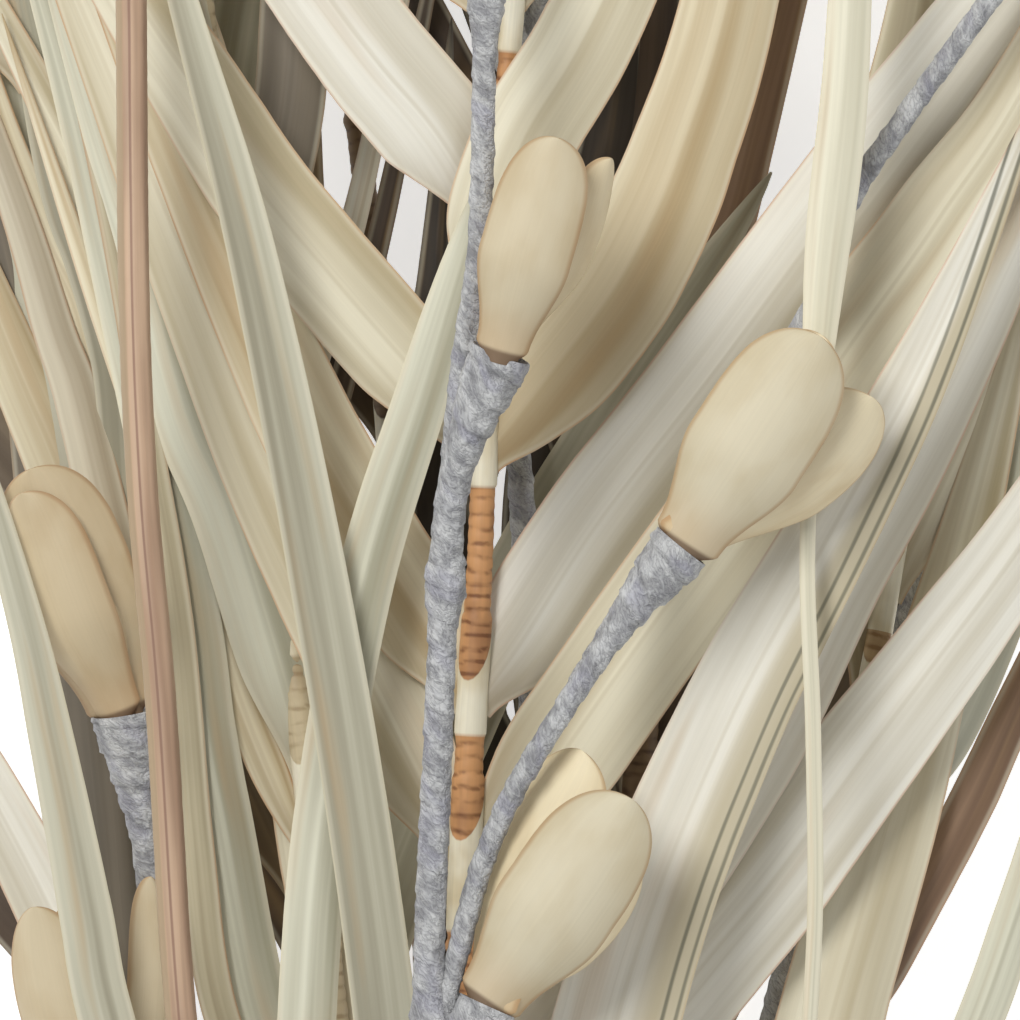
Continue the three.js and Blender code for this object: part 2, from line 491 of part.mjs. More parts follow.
// ---------------------------------------------------------------- pod twigs
// Each twig ends in a calyx, which carries a pod. turn bends the pod off its calyx, in degrees, and
// raise lifts it. at is the place of a petal round the pod's axis, in degrees from its upper side.
const podTwigs = {
  pod_twig_front: {
    layer: 110,
    main: [
      ...foot(4, 1), [-2, -300], [-8, -200], [-12, -130], [-13.5, -83], [-12, -40], [-10.5, -8], [-8, 22],
      [-5, 45], [-4, 83], [-2, 108], [3, 132],
    ],
    radius: [TWIG_RADIUS, 1.9],
    twigs: [
      {
        pod: 'pod_front_1', radius: 2.7, turn: -6.5, raise: 1.5,
        path: [[-11, -12], [-9.5, 3, 112], [-6, 15, 115.5], [-1.5, 26, 116.5]],
        petals: [
          { at: -6, width: 15.5, length: 36 },
          { at: 52, width: 12, belly: 6, length: 34, sway: 8 },
          { at: -55, width: 10, belly: 5, length: 25 },
          { at: 180, width: 13, length: 34 },
        ],
      },
      {
        pod: 'pod_front_2', radius: 1.9, turn: -6,
        path: [
          [-12.5, -88], [-9, -75], [-5, -60], [0, -48], [7, -36], [15, -24], [22, -14], [28.5, -6],
        ],
        petals: [
          { at: 0, width: 20.5 },
          { at: 32, width: 21, belly: 5, length: 36, sway: 13 },
          { at: 178, width: 17 },
        ],
      },
      {
        pod: 'pod_front_3', radius: 2.2, turn: 10,
        path: [[-13, -114], [-12, -104], [-9, -93], [-4, -82]],
        petals: [
          { at: 6 },
          { at: -34, width: 20, belly: 5, length: 42, sway: -10 },
          { at: 40, width: 14, belly: 5, length: 31, sway: 8 },
        ],
      },
      {
        pod: 'pod_front_4', radius: 1.8, turn: -8,
        path: [
          [10, -31, 108], [24, -8, 92], [41, 18, 88], [52, 37, 88], [57, 52, 88], [67, 67, 88],
          [80, 85, 90], [94, 104, 92],
        ],
        petals: [{ at: 12 }, { at: -34, width: 17, belly: 5, sway: -5 }, { at: 182, width: 17 }],
      },
      {
        pod: 'pod_front_5', radius: 1.8, turn: -4,
        path: [[-4, 84], [-9, 99], [-16, 114], [-22, 128]],
        petals: [{ at: -10 }, { at: 36, width: 17, belly: 5, sway: 6 }, { at: 182, width: 17 }],
      },
    ],
    end: {
      pod: 'pod_front_6', turn: 0,
      petals: [{ at: 10 }, { at: -36, width: 17, belly: 5, sway: -4 }, { at: 180, width: 17 }],
    },
  },
  pod_twig_left: {
    layer: 80,
    main: [
      ...foot(3, -2), [-20, -290], [-36, -200], [-47, -145], [-55, -105, 76], [-59, -83, 75.5],
      [-61, -60, 76], [-65, -34],
    ],
    radius: [2.6, 2.1],
    twigs: [
      {
        pod: 'pod_left_1', radius: 2, turn: 10,
        path: [[-49, -140], [-56, -130, 83], [-62, -119, 83], [-65.5, -107, 82.5]],
        petals: [
          { at: -24, width: 15, belly: 7, sway: -8 },
          { at: 26, width: 8.5, belly: 6, length: 43, sway: 9 },
          { at: 190, width: 11, sway: 3 },
        ],
      },
    ],
    end: {
      pod: 'pod_left_2', turn: -12,
      petals: [
        { at: -22, width: 15.5, length: 39.5 },
        { at: -4, width: 20.5, belly: 5, length: 42.5, sway: 0.5 },
        { at: 55, width: 10, belly: 7, length: 38, sway: 3 },
      ],
    },
  },
  pod_twig_back: {
    layer: 47,
    main: [
      ...foot(1, 0), [2, -250], [4, -120], [4, -40], [1, 20], [0, 60], [2, 110], [6, 160], [10, 188],
    ],
    radius: [2.5, 1.9],
    twigs: [
      {
        pod: 'pod_back_1', radius: 1.8, turn: 4,
        path: [[1, 78], [10, 98], [19, 118], [26, 136]],
        petals: [{ at: 180 }, { at: -144, width: 17, belly: 5, sway: 5 }, { at: 0, width: 17 }],
      },
    ],
    end: {
      pod: 'pod_back_2', turn: 0,
      petals: [{ at: 175 }, { at: 140, width: 17, belly: 5, sway: -5 }, { at: -5, width: 17 }],
    },
  },
  pod_twig_right: {
    layer: 50,
    main: [
      ...foot(2, 1), [12, -250], [30, -150], [52, -60], [70, -12], [80, 10], [90, 52, 48], [100, 92, 45],
      [108, 116, 43],
    ],
    radius: [2.5, 1.9],
    twigs: [],
    end: {
      pod: 'pod_right_1', turn: 4,
      petals: [{ at: 186 }, { at: 144, width: 17, belly: 5, sway: -4 }, { at: 0, width: 17 }],
    },
  },
};

const TWIG_NARROWS = { from: 0.3, to: 0.9 };
const CONE_CURVE = 1.25;

// The cone of the calyx is measured along the twig's real length.
function twigSolid(path, thick, thin) {
  const length = path.getLength();
  const shares = path.getLengths(400);
  const reach = (t) => (shares[Math.round(400 * t)] / shares[400]) * length;
  const radiusAt = (t) => {
    const cone = THREE.MathUtils.clamp(1 - (length - reach(t)) / CALYX_LENGTH, 0, 1);
    const plain = lerp(thick, thin, smooth(TWIG_NARROWS.from, TWIG_NARROWS.to, t));
    return plain + (CALYX_RADIUS - thin) * Math.pow(cone, CONE_CURVE);
  };
  return rodSolid(path, radiusAt, TWIG_SIDES, Math.max(5, Math.round(length / TWIG_STEP)));
}

// ---------------------------------------------------------------- pods
const PETAL_NECK = 0.58; // width at the root, against the widest
const PETAL_FULL = 0.42;
const petalOutline = (t) => PETAL_NECK + (1 - PETAL_NECK) * smooth(0, PETAL_FULL, t);
const endRound = (t) => (1 - Math.cos(Math.PI * t)) / 2;
const tipRound = (t) => Math.sqrt(1 - (1 - TIP_BLUNT ** 2) * Math.pow(Math.max(0, 2 * t - 1), 3));
const BELLY_AT = 0.45;
const TUCK_FROM = 0.5;

// A petal stands with its back belly away from the pod's axis at its widest, and bows sideways by
// sway at its tip.
function podSolid(path, { turn, petals, raise = 0 }) {
  const f = frameAt(path, 1);
  const axis = f.along.clone().applyAxisAngle(UP, -THREE.MathUtils.degToRad(turn));
  const side = axis.clone().cross(UP).normalize();
  const top = side.clone().cross(axis);
  const base = f.at.clone().addScaledVector(f.along, POD_GAP).addScaledVector(top, raise);
  const petal = ({ at, width = PETAL_WIDTH, belly = POD_BELLY, length = PETAL_LENGTH, sway = 0 }) => {
    const angle = THREE.MathUtils.degToRad(at);
    const out = top.clone().multiplyScalar(Math.cos(angle)).addScaledVector(side, Math.sin(angle));
    const across = axis.clone().cross(out);
    return sheetSolid(PETAL_COLUMNS, PETAL_ROWS, (s, v, face) => {
      const t = endRound(v);
      const half = (width / 2) * petalOutline(t) * tipRound(t);
      const root = ROOT_RADIUS * Math.min(1, belly / POD_BELLY);
      const back = lerp(root, belly, smooth(0, BELLY_AT, t)) - TIP_TUCK * smooth(TUCK_FROM, 1, t);
      const cup = PETAL_CUP * half * s * s;
      const thick = lerp(PETAL_THICK, PETAL_RIM, s * s);
      return base.clone()
        .addScaledVector(axis, ROOT_DEPTH + length * t)
        .addScaledVector(across, s * half + sway * Math.sin((Math.PI / 2) * t))
        .addScaledVector(out, back - cup + (face * thick) / 2);
    });
  };
  const seat = solidOf(moveVertices(new THREE.CylinderGeometry(1, SEAT_FOOT, 1, 6), (x, y, z) => base.clone()
    .addScaledVector(axis, SEAT_HEIGHT * (0.5 + y))
    .addScaledVector(side, SEAT_RADIUS * x)
    .addScaledVector(top, SEAT_RADIUS * z)));
  return joined([seat, ...petals.map(petal)]);
}

// ---------------------------------------------------------------- tie
// Turns of twine round the stems, flattened where they press on the table, with a knot on top.
const TIE_INSIDE = { across: 14, up: 15.8 };
const TIE_SIDES = 12;
const KNOT = { across: 5.5, along: 4, up: 3.2 };
const VALLEY = 0.55; // how far out the valley between two turns is
const VALLEY_HALF = 0.02;

function tieSolid() {
  const half = (TIE_TURNS * TURN_PITCH) / 2;
  // across the ring, x runs from 0 at the inside to 1 on top of a turn
  const section = [[0, half], [0, -half]];
  for (let k = 0; k < TIE_TURNS; k++) {
    section.push([VALLEY, -half + (k + VALLEY_HALF) * TURN_PITCH], [1, -half + (k + 0.5) * TURN_PITCH]);
  }
  section.push([VALLEY, half - VALLEY_HALF * TURN_PITCH], [0, half]);
  const profile = section.map(([x, y]) => new THREE.Vector2(1 + x, y)).reverse();
  const ring = new THREE.LatheGeometry(profile, TIE_SIDES, Math.PI / TIE_SIDES);
  const centre = ROW[2];
  const turns = solidOf(moveVertices(ring, (x, y, z) => {
    const r = Math.hypot(x, z);
    const wall = (r - 1) * TIE_WALL;
    return new THREE.Vector3(
      (x / r) * (TIE_INSIDE.across + wall), y, Math.max(0, centre - (z / r) * (TIE_INSIDE.up + wall)));
  }));
  const knot = solidOf(moveVertices(new THREE.SphereGeometry(1, 8, 6), (x, y, z) => new THREE.Vector3(
    x * KNOT.across, y * KNOT.along, centre + TIE_INSIDE.up + TIE_WALL + z * KNOT.up)));
  return joined([turns, knot]);
}

// ---------------------------------------------------------------- the bunch
const dried = (color, roughness) => new THREE.MeshStandardMaterial({ color, roughness, metalness: 0 });
const materials = {
  leaf: dried(0xd6cfb8, 0.7),
  reed: dried(0xb9977c, 0.6),
  paper: dried(0x9fa0a3, 0.95),
  pod: dried(0xddd0ab, 0.6),
  twine: dried(0xb39b73, 0.95),
};

const bunch = new THREE.Group();
bunch.name = 'dried_stem_bunch';

for (const [name, stem] of Object.entries(leafyStems)) {
  bunch.add(meshOf(name, leafyStemSolid(stem), materials.leaf));
}

const reedAt = (t) => REED_RADIUS * (1 - REED_NARROWS.share * smooth(REED_NARROWS.from, 1, t));
bunch.add(meshOf('reed',
  rodSolid(pathOf(reed.stem, reed.layer), reedAt, STEM_SIDES, reed.stem.length + 2), materials.reed));

for (const [name, { layer, main, radius, twigs, end }] of Object.entries(podTwigs)) {
  const mainPath = pathOf(main, layer);
  const paths = twigs.map((twig) => pathOf(twig.path, layer));
  const sides = paths.map((path, i) => twigSolid(path, twigs[i].radius, twigs[i].radius));
  bunch.add(meshOf(name, joined([twigSolid(mainPath, ...radius), ...sides]), materials.paper));
  [[mainPath, end], ...paths.map((path, i) => [path, twigs[i]])].forEach(([path, pod]) => {
    bunch.add(meshOf(pod.pod, podSolid(path, pod), materials.pod));
  });
}

bunch.add(meshOf('tie', tieSolid(), materials.twine));

// The origin is on the table, under the middle of the whole bunch.
const box = new THREE.Box3().setFromObject(bunch);
const middle = box.getCenter(new THREE.Vector3());
bunch.position.set(-middle.x, -middle.y, -box.min.z);

export default bunch;
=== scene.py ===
"""A bunch of dried leafy stems and paper-wrapped pod twigs, tied near the cut ends, on a pale table."""
import math

import bpy
import numpy as np
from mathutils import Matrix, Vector


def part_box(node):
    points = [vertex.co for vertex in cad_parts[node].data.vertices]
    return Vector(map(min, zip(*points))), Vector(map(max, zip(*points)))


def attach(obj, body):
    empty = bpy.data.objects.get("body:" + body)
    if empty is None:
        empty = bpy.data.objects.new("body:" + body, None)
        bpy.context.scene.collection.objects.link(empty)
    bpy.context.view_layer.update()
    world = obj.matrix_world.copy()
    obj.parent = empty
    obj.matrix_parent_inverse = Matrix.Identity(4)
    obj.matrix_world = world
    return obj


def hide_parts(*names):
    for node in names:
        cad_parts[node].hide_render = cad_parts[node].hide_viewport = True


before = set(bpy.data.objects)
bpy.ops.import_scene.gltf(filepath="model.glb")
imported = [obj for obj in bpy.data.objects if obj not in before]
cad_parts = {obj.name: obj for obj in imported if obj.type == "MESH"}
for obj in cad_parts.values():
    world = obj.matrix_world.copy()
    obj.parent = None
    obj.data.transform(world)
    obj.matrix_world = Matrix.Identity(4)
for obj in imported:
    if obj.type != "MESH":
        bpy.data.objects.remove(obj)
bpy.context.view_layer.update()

# ---------------------------------------------------------------- leaves
# Long dried blades, bleached cream to grey-green, with a soft fold along the midrib, thin rims and
# fine parallel veins. Each is one blade swept along its midline and fixed to its stem at the root.
MM = 0.001
# The bunch lies on a table: thick in its leafy head, pressed together at the tie. Every stem with its
# leaves and every twig keeps to a layer of its own, and all the layers rise and sink together. The
# leaves of one stem share its layer, lifted a little up or down. Places are in millimetres from the
# middle of the tie, as (across, along, layer), until to_frame() places them.
HEAD = 385  # from the tie to the middle of the leafy head
CUT = 132  # from the tie to the cut ends
CUT_SPREAD = 1.7
TIE_SQUEEZE = 0.25
TIE_LIFT = 3
HEAD_START = 235
TIPS_FROM, TIPS_TO, TIPS_SINK = 480, 720, 0.22  # the heap gets lower towards the tips
FLANKS_FROM, FLANKS_TO, FLANKS_SINK = 50, 230, 0.5  # and towards both sides
SWELL, SWELL_ACROSS, SWELL_ALONG = 0.035, 37, 61
ROW = [5.7, 11.1, 16.5, 21.9, 27.3]  # five rows of stems in the tie, from the table up
ROW_STEP = 3.1
BELOW_TIE, BELOW_SPREAD = 45, 1.15
TIE_REACH = 12  # a stem runs straight through the tie, this far to both sides
UP = np.array([0.0, 0.0, 1.0])
STEP = 1e-3  # the share of a route over which its direction is measured
GOLDEN = 0.618034  # what is left of its multiples after the point scatters evenly
TIE_LOW, TIE_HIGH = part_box("tie")
ORIGIN = np.array([(TIE_LOW.x + TIE_HIGH.x) / 2, (TIE_LOW.y + TIE_HIGH.y) / 2, 0.0])


def to_frame(points):
    return points * MM + ORIGIN


def smooth(a, b, v):
    share = np.clip((np.asarray(v, float) - a) / (b - a), 0, 1)
    return share * share * (3 - 2 * share)


def lerp(a, b, share):
    return a + (b - a) * share


def unit(v):
    return v / np.linalg.norm(v, axis=-1, keepdims=True)


def height_at(x, y, layer):
    """How high a layer lies over each place."""
    grown = smooth(0, HEAD_START, y)
    lengthwise = lerp(TIE_SQUEEZE, 1, grown) * (1 - TIPS_SINK * smooth(TIPS_FROM, TIPS_TO, y))
    sideways = 1 - FLANKS_SINK * smooth(FLANKS_FROM, FLANKS_TO, np.abs(x))
    swell = 1 + SWELL * np.sin(x / SWELL_ACROSS + 1) * np.sin(y / SWELL_ALONG) * grown
    return TIE_LIFT * (1 - grown) + layer * lengthwise * sideways * swell


def route(points, layer):
    """The places of a line. One with no layer of its own takes the given layer."""
    return np.array([(p[0], p[1] + HEAD, p[2] if len(p) > 2 else layer) for p in points], float)


def spline(way, t):
    """Points at t, 0 to 1, on the smooth curve through the places of a route."""
    padded = np.vstack([2 * way[0] - way[1], way, 2 * way[-1] - way[-2]])
    p = np.clip(t, 0, 1) * (len(way) - 1)
    i = np.minimum(p.astype(int), len(way) - 2)
    w = (p - i)[:, None]
    a, b, c, d = (padded[i + k] for k in range(4))
    start, end = (c - a) / 2, (d - b) / 2
    return b + w * start + w**2 * (3 * (c - b) - 2 * start - end) + w**3 * (2 * (b - c) + start + end)


def on_route(way, t):
    p = spline(way, np.asarray(t, float))
    p[:, 2] = height_at(p[:, 0], p[:, 1], p[:, 2])
    return p


def frames_on(way, t, roll=0.0):
    """Place, direction, side and upper side at each t of a route, turned by roll degrees."""
    centre = on_route(way, t)
    along = unit(on_route(way, np.minimum(1, t + STEP)) - on_route(way, np.maximum(0, t - STEP)))
    side = unit(np.cross(along, UP))
    turn = np.radians(np.broadcast_to(roll, t.shape))[:, None]
    side = side * np.cos(turn) + np.cross(along, side) * np.sin(turn)
    return centre, along, side, np.cross(side, along)


def measured(centre):
    """Length along a line, at each of its points."""
    return np.concatenate([[0], np.cumsum(np.linalg.norm(np.diff(centre, axis=0), axis=1))])


def foot(row, place, cut_more=0.0):
    """The stretch from the cut end through the tie, alike for every stem."""
    x = place * ROW_STEP
    layer = (ROW[row] - TIE_LIFT) / TIE_SQUEEZE
    return [(x * CUT_SPREAD, -HEAD - CUT - cut_more, layer), (x * BELOW_SPREAD, -HEAD - BELOW_TIE, layer),
            (x, -HEAD - TIE_REACH, layer), (x, -HEAD + TIE_REACH, layer)]


LEAF_ROWS = 84
LEAF_COLUMNS = 26  # round the whole section, face and back
LEAF_THICK = 0.62
LEAF_FOLD = 0.18
LEAF_NECK = 0.32
LEAF_TAPER = 4
LEAF_FULL = 0.2  # where along it a leaf reaches its full width
TIP_POWER, TIP_SHARE = 0.85, 0.03
STALK_SHARE, STRAP_WIDENS, STRAP_TAPER = 0.26, (0.56, 0.74), 6
LIFT_STEP = 1.5
LIFTED_BY = 0.35  # where along it a leaf reaches its lift
LEAF_ARCH = 0.08
ATTRIBUTES = {1: ("FLOAT", "value"), 3: ("FLOAT_VECTOR", "vector"), 4: ("FLOAT_COLOR", "color")}
SHARP = 50  # degrees: a corner sharper than this stays sharp


class Wire:
    """A node's socket. Arithmetic on it adds Math nodes, and node() adds any other node."""

    def __init__(self, tree, socket=None):
        self.tree, self.socket = tree, socket

    def node(self, kind, settings=None, sockets=None, out=0):
        made = self.tree.nodes.new(kind)
        for name, value in (settings or {}).items():
            setattr(made, name, value)
        for key, value in (sockets or {}).items():
            if isinstance(value, Wire):
                self.tree.links.new(value.socket, made.inputs[key])
            else:
                made.inputs[key].default_value = value
        return Wire(self.tree, made.outputs[out])

    def math(self, operation, *others, first=None):
        values = (self, *others) if first is None else (first, self)
        return self.node("ShaderNodeMath", {"operation": operation}, dict(enumerate(values)))

    def __add__(self, other):
        return self.math("ADD", other)

    def __sub__(self, other):
        return self.math("SUBTRACT", other)

    def __mul__(self, other):
        return self.math("MULTIPLY", other)

    def __truediv__(self, other):
        return self.math("DIVIDE", other)

    def __pow__(self, other):
        return self.math("POWER", other)

    def __abs__(self):
        return self.math("ABSOLUTE")

    def __rsub__(self, other):
        return self.math("SUBTRACT", first=other)

    def __rtruediv__(self, other):
        return self.math("DIVIDE", first=other)

    __radd__, __rmul__ = __add__, __mul__

    def step(self, low, high):
        """0 below low, 1 above high, smooth between."""
        return self.node("ShaderNodeMapRange", {"interpolation_type": "SMOOTHSTEP"},
                         {"Value": self, "From Min": low, "From Max": high})

    def vector(self, x, y, z):
        return self.node("ShaderNodeCombineXYZ", None, {0: x, 1: y, 2: z})

    def part(self, axis):
        return self.node("ShaderNodeSeparateXYZ", None, {0: self}, out=axis)

    def scaled(self, factor):
        return self.node("ShaderNodeVectorMath", {"operation": "SCALE"}, {0: self, "Scale": factor})

    def plus(self, other):
        return self.node("ShaderNodeVectorMath", {"operation": "ADD"}, {0: self, 1: other})

    def noise(self, at, scale, detail, rough=0.5):
        return self.node("ShaderNodeTexNoise", None,
                         {"Vector": at, "Scale": scale, "Detail": detail, "Roughness": rough})

    def mixed(self, other, share):
        """This colour, with a share of another laid over it."""
        return self.node("ShaderNodeMix", {"data_type": "RGBA"}, {0: share, 6: self, 7: other}, out=2)

    def between(self, low, high):
        """The colour that this share, from 0 to 1, makes of two."""
        return self.node("ShaderNodeMix", {"data_type": "RGBA"}, {0: self, 6: low, 7: high}, out=2)

    def named(self, name, kind="FLOAT"):
        """A named value of the line or mesh, in Geometry Nodes."""
        return self.node("GeometryNodeInputNamedAttribute", {"data_type": kind}, {"Name": name})

    def stored(self, name, value, kind="FLOAT"):
        return self.node("GeometryNodeStoreNamedAttribute", {"data_type": kind, "domain": "POINT"},
                         {"Geometry": self, "Name": name, "Value": value})

    def surface(self, name, out="Fac"):
        """A named value of the mesh, in a material."""
        return self.node("ShaderNodeAttribute", {"attribute_name": name}, None, out)

    def three(self, name):
        """The three parts of a named vector of the mesh, in a material."""
        at = self.surface(name, "Vector")
        return (at.part(axis) for axis in range(3))


def colour(red, green, blue):
    """A colour from its 0 to 255 screen values."""
    screen = (red / 255, green / 255, blue / 255)
    return (*(c / 12.92 if c <= 0.04 else ((c + 0.055) / 1.055) ** 2.4 for c in screen), 1.0)


def sweep_tree(name, inputs, place):
    """A tree that sweeps a ring of points along every line of its mesh. place() says where the ring's
    points go, from the tree, its inputs and the angle round the ring."""
    tree = bpy.data.node_groups.new(name, "GeometryNodeTree")
    tree.interface.new_socket("Geometry", in_out="INPUT", socket_type="NodeSocketGeometry")
    for title, kind, default in [("Columns", "Int", 16), ("Finish", "Material", None), *inputs]:
        socket = tree.interface.new_socket(title, in_out="INPUT", socket_type="NodeSocket" + kind)
        if default is not None:
            socket.default_value = default
    tree.interface.new_socket("Geometry", in_out="OUTPUT", socket_type="NodeSocketGeometry")
    start = tree.nodes.new("NodeGroupInput")
    given = {s.name: Wire(tree, s) for s in start.outputs if s.name}
    w = Wire(tree)
    lines = w.node("GeometryNodeMeshToCurve", None, {"Mesh": given["Geometry"]})
    lines = lines.stored("centre", w.node("GeometryNodeInputPosition"), "FLOAT_VECTOR")
    ring = w.node("GeometryNodeCurvePrimitiveCircle", None, {"Resolution": given["Columns"], "Radius": MM})
    turn = w.node("GeometryNodeInputIndex") / given["Columns"]
    ring = ring.stored("turn", turn)
    skin = w.node("GeometryNodeCurveToMesh", None,
                  {"Curve": lines, "Profile Curve": ring, "Fill Caps": True})
    angle = w.named("turn") * math.tau
    skin = place(w, given, skin, angle.math("COSINE"), angle.math("SINE"))
    skin = w.node("GeometryNodeRealizeInstances", None, {"Geometry": skin})
    skin = w.node("GeometryNodeSetMaterial", None, {"Geometry": skin, "Material": given["Finish"]})
    end = tree.nodes.new("NodeGroupOutput")
    tree.links.new(skin.socket, end.inputs[0])
    return tree


def place_blade(w, given, skin, across, face):
    """A thin section, folded like a roof and arched, which waves a little along its length."""
    half, thick, share, grain = (w.named(n) for n in ("half", "thick", "share", "grain"))
    crown = (across * across + 0.015).math("SQRT")
    ripple = w.noise(w.vector(share * given["Waves"], across * 0.8, grain * 40), 1, 1) - 0.5
    fray = w.noise(w.vector(share * given["Waves"] * 4, across * 0.6, grain * 70), 1, 2) - 0.5
    wide = half * (1 + fray * given["Fray"])
    rise = half * (w.named("roof") * (0.5 - crown) - w.named("arch") * across * across)
    rise = rise + ripple * given["Wave Height"] * 2 + thick * face / 2
    at = w.named("centre", "FLOAT_VECTOR").plus(w.named("across", "FLOAT_VECTOR").scaled(across * wide))
    at = at.plus(w.named("up", "FLOAT_VECTOR").scaled(rise))
    floor = thick * (face + 1) / 2
    at = w.vector(at.part(0), at.part(1), at.part(2).math("MAXIMUM", floor))
    skin = skin.stored("grain_at", w.vector(across * half, w.named("length"), grain), "FLOAT_VECTOR")
    return w.node("GeometryNodeSetPosition", None, {"Geometry": skin, "Position": at})


BLADE = sweep_tree("blade", [("Waves", "Float", 3.0), ("Wave Height", "Float", 0.0),
                             ("Fray", "Float", 0.0)], place_blade)


def swept(name, tree, lines, inputs):
    """A mesh piece: the tree's section along each line. A line is a dict of arrays; all but its
    centre become named values, which the tree and the materials read."""
    mesh = bpy.data.meshes.new(name)
    centre = np.concatenate([to_frame(line["centre"]) for line in lines])
    mesh.vertices.add(len(centre))
    mesh.vertices.foreach_set("co", centre.astype(np.float32).ravel())
    ends = np.cumsum([len(line["centre"]) for line in lines]) - 1
    first = np.setdiff1d(np.arange(len(centre)), ends)
    mesh.edges.add(len(first))
    mesh.edges.foreach_set("vertices", np.stack([first, first + 1], 1).astype(np.int32).ravel())
    for key in lines[0]:
        if key == "centre":
            continue
        values = np.concatenate([line[key] for line in lines]).astype(np.float32)
        kind, slot = ATTRIBUTES[1 if values.ndim == 1 else values.shape[1]]
        mesh.attributes.new(key, kind, "POINT").data.foreach_set(slot, values.ravel())
    piece = bpy.data.objects.new(name, mesh)
    bpy.context.scene.collection.objects.link(piece)
    modifier = piece.modifiers.new("Sweep", "NODES")
    modifier.node_group = tree
    sockets = {s.name: s.identifier for s in tree.interface.items_tree if s.in_out == "INPUT"}
    for title, value in inputs.items():
        modifier[sockets[title]] = value
    graph = bpy.context.evaluated_depsgraph_get()
    made = bpy.data.meshes.new_from_object(piece.evaluated_get(graph), preserve_all_data_layers=True,
                                           depsgraph=graph)
    piece.modifiers.clear()
    piece.data = made
    bpy.data.meshes.remove(mesh)
    made.name = name
    return outward(piece)


def outward(piece):
    """Turns the faces of a closed mesh outwards, smooths all but its sharp corners, and drops most of
    the values that only the sweep reads."""
    made = piece.data
    made.calc_loop_triangles()
    corners = np.zeros(len(made.loop_triangles) * 3, np.int32)
    made.loop_triangles.foreach_get("vertices", corners)
    co = np.zeros(len(made.vertices) * 3, np.float32)
    made.vertices.foreach_get("co", co)
    a, b, c = co.reshape(-1, 3)[corners].reshape(-1, 3, 3).astype(float).transpose(1, 0, 2)
    if (a * np.cross(b, c)).sum() < 0:
        made.flip_normals()
    for used in ("across", "up", "centre", "turn", "thick", "roof", "arch"):
        if used in made.attributes:
            made.attributes.remove(made.attributes[used])
    made.shade_smooth()
    made.set_sharp_from_angle(angle=math.radians(SHARP))
    return piece


def finished(piece, slot, *nodes):
    """Fixes a piece to the bunch, in place of its plain nodes."""
    if nodes:
        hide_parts(*nodes)
    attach(piece, "root")
    return piece


def material(name, rough, sheen=0.0):
    """A new material: its shader and the wire that its nodes hang on."""
    made = bpy.data.materials.new(name)
    made.use_nodes = True
    shader = made.node_tree.nodes["Principled BSDF"]
    shader.inputs["Roughness"].default_value = rough
    shader.inputs["Sheen Weight"].default_value = sheen
    return made, shader, Wire(made.node_tree)


def feed(shader, w, base, rough, height, strength, depth):
    """Links a shader to its colour, its roughness unless that is None, and its fine relief."""
    w.tree.links.new(base.socket, shader.inputs["Base Color"])
    if rough is not None:
        w.tree.links.new(rough.socket, shader.inputs["Roughness"])
    bump = w.node("ShaderNodeBump", None, {"Strength": strength, "Distance": depth, "Height": height})
    w.tree.links.new(bump.socket, shader.inputs["Normal"])


# Brown stains, brown painted shade at a leaf's root, and a painted highlight just inside its rims.
STAIN, ROOT_SHADE_BROWN, RIM_HIGHLIGHT = colour(178, 146, 100), colour(134, 112, 78), colour(232, 224, 200)
# The lined leaf has a pair of dark lines beside its right rim, and painted shade in khaki on that half of its
# fold.
STRIPE, FOLD_SHADE_KHAKI = colour(70, 72, 54), colour(176, 164, 132)
LINES_IN, LINES_APART = 2.2, 1.1


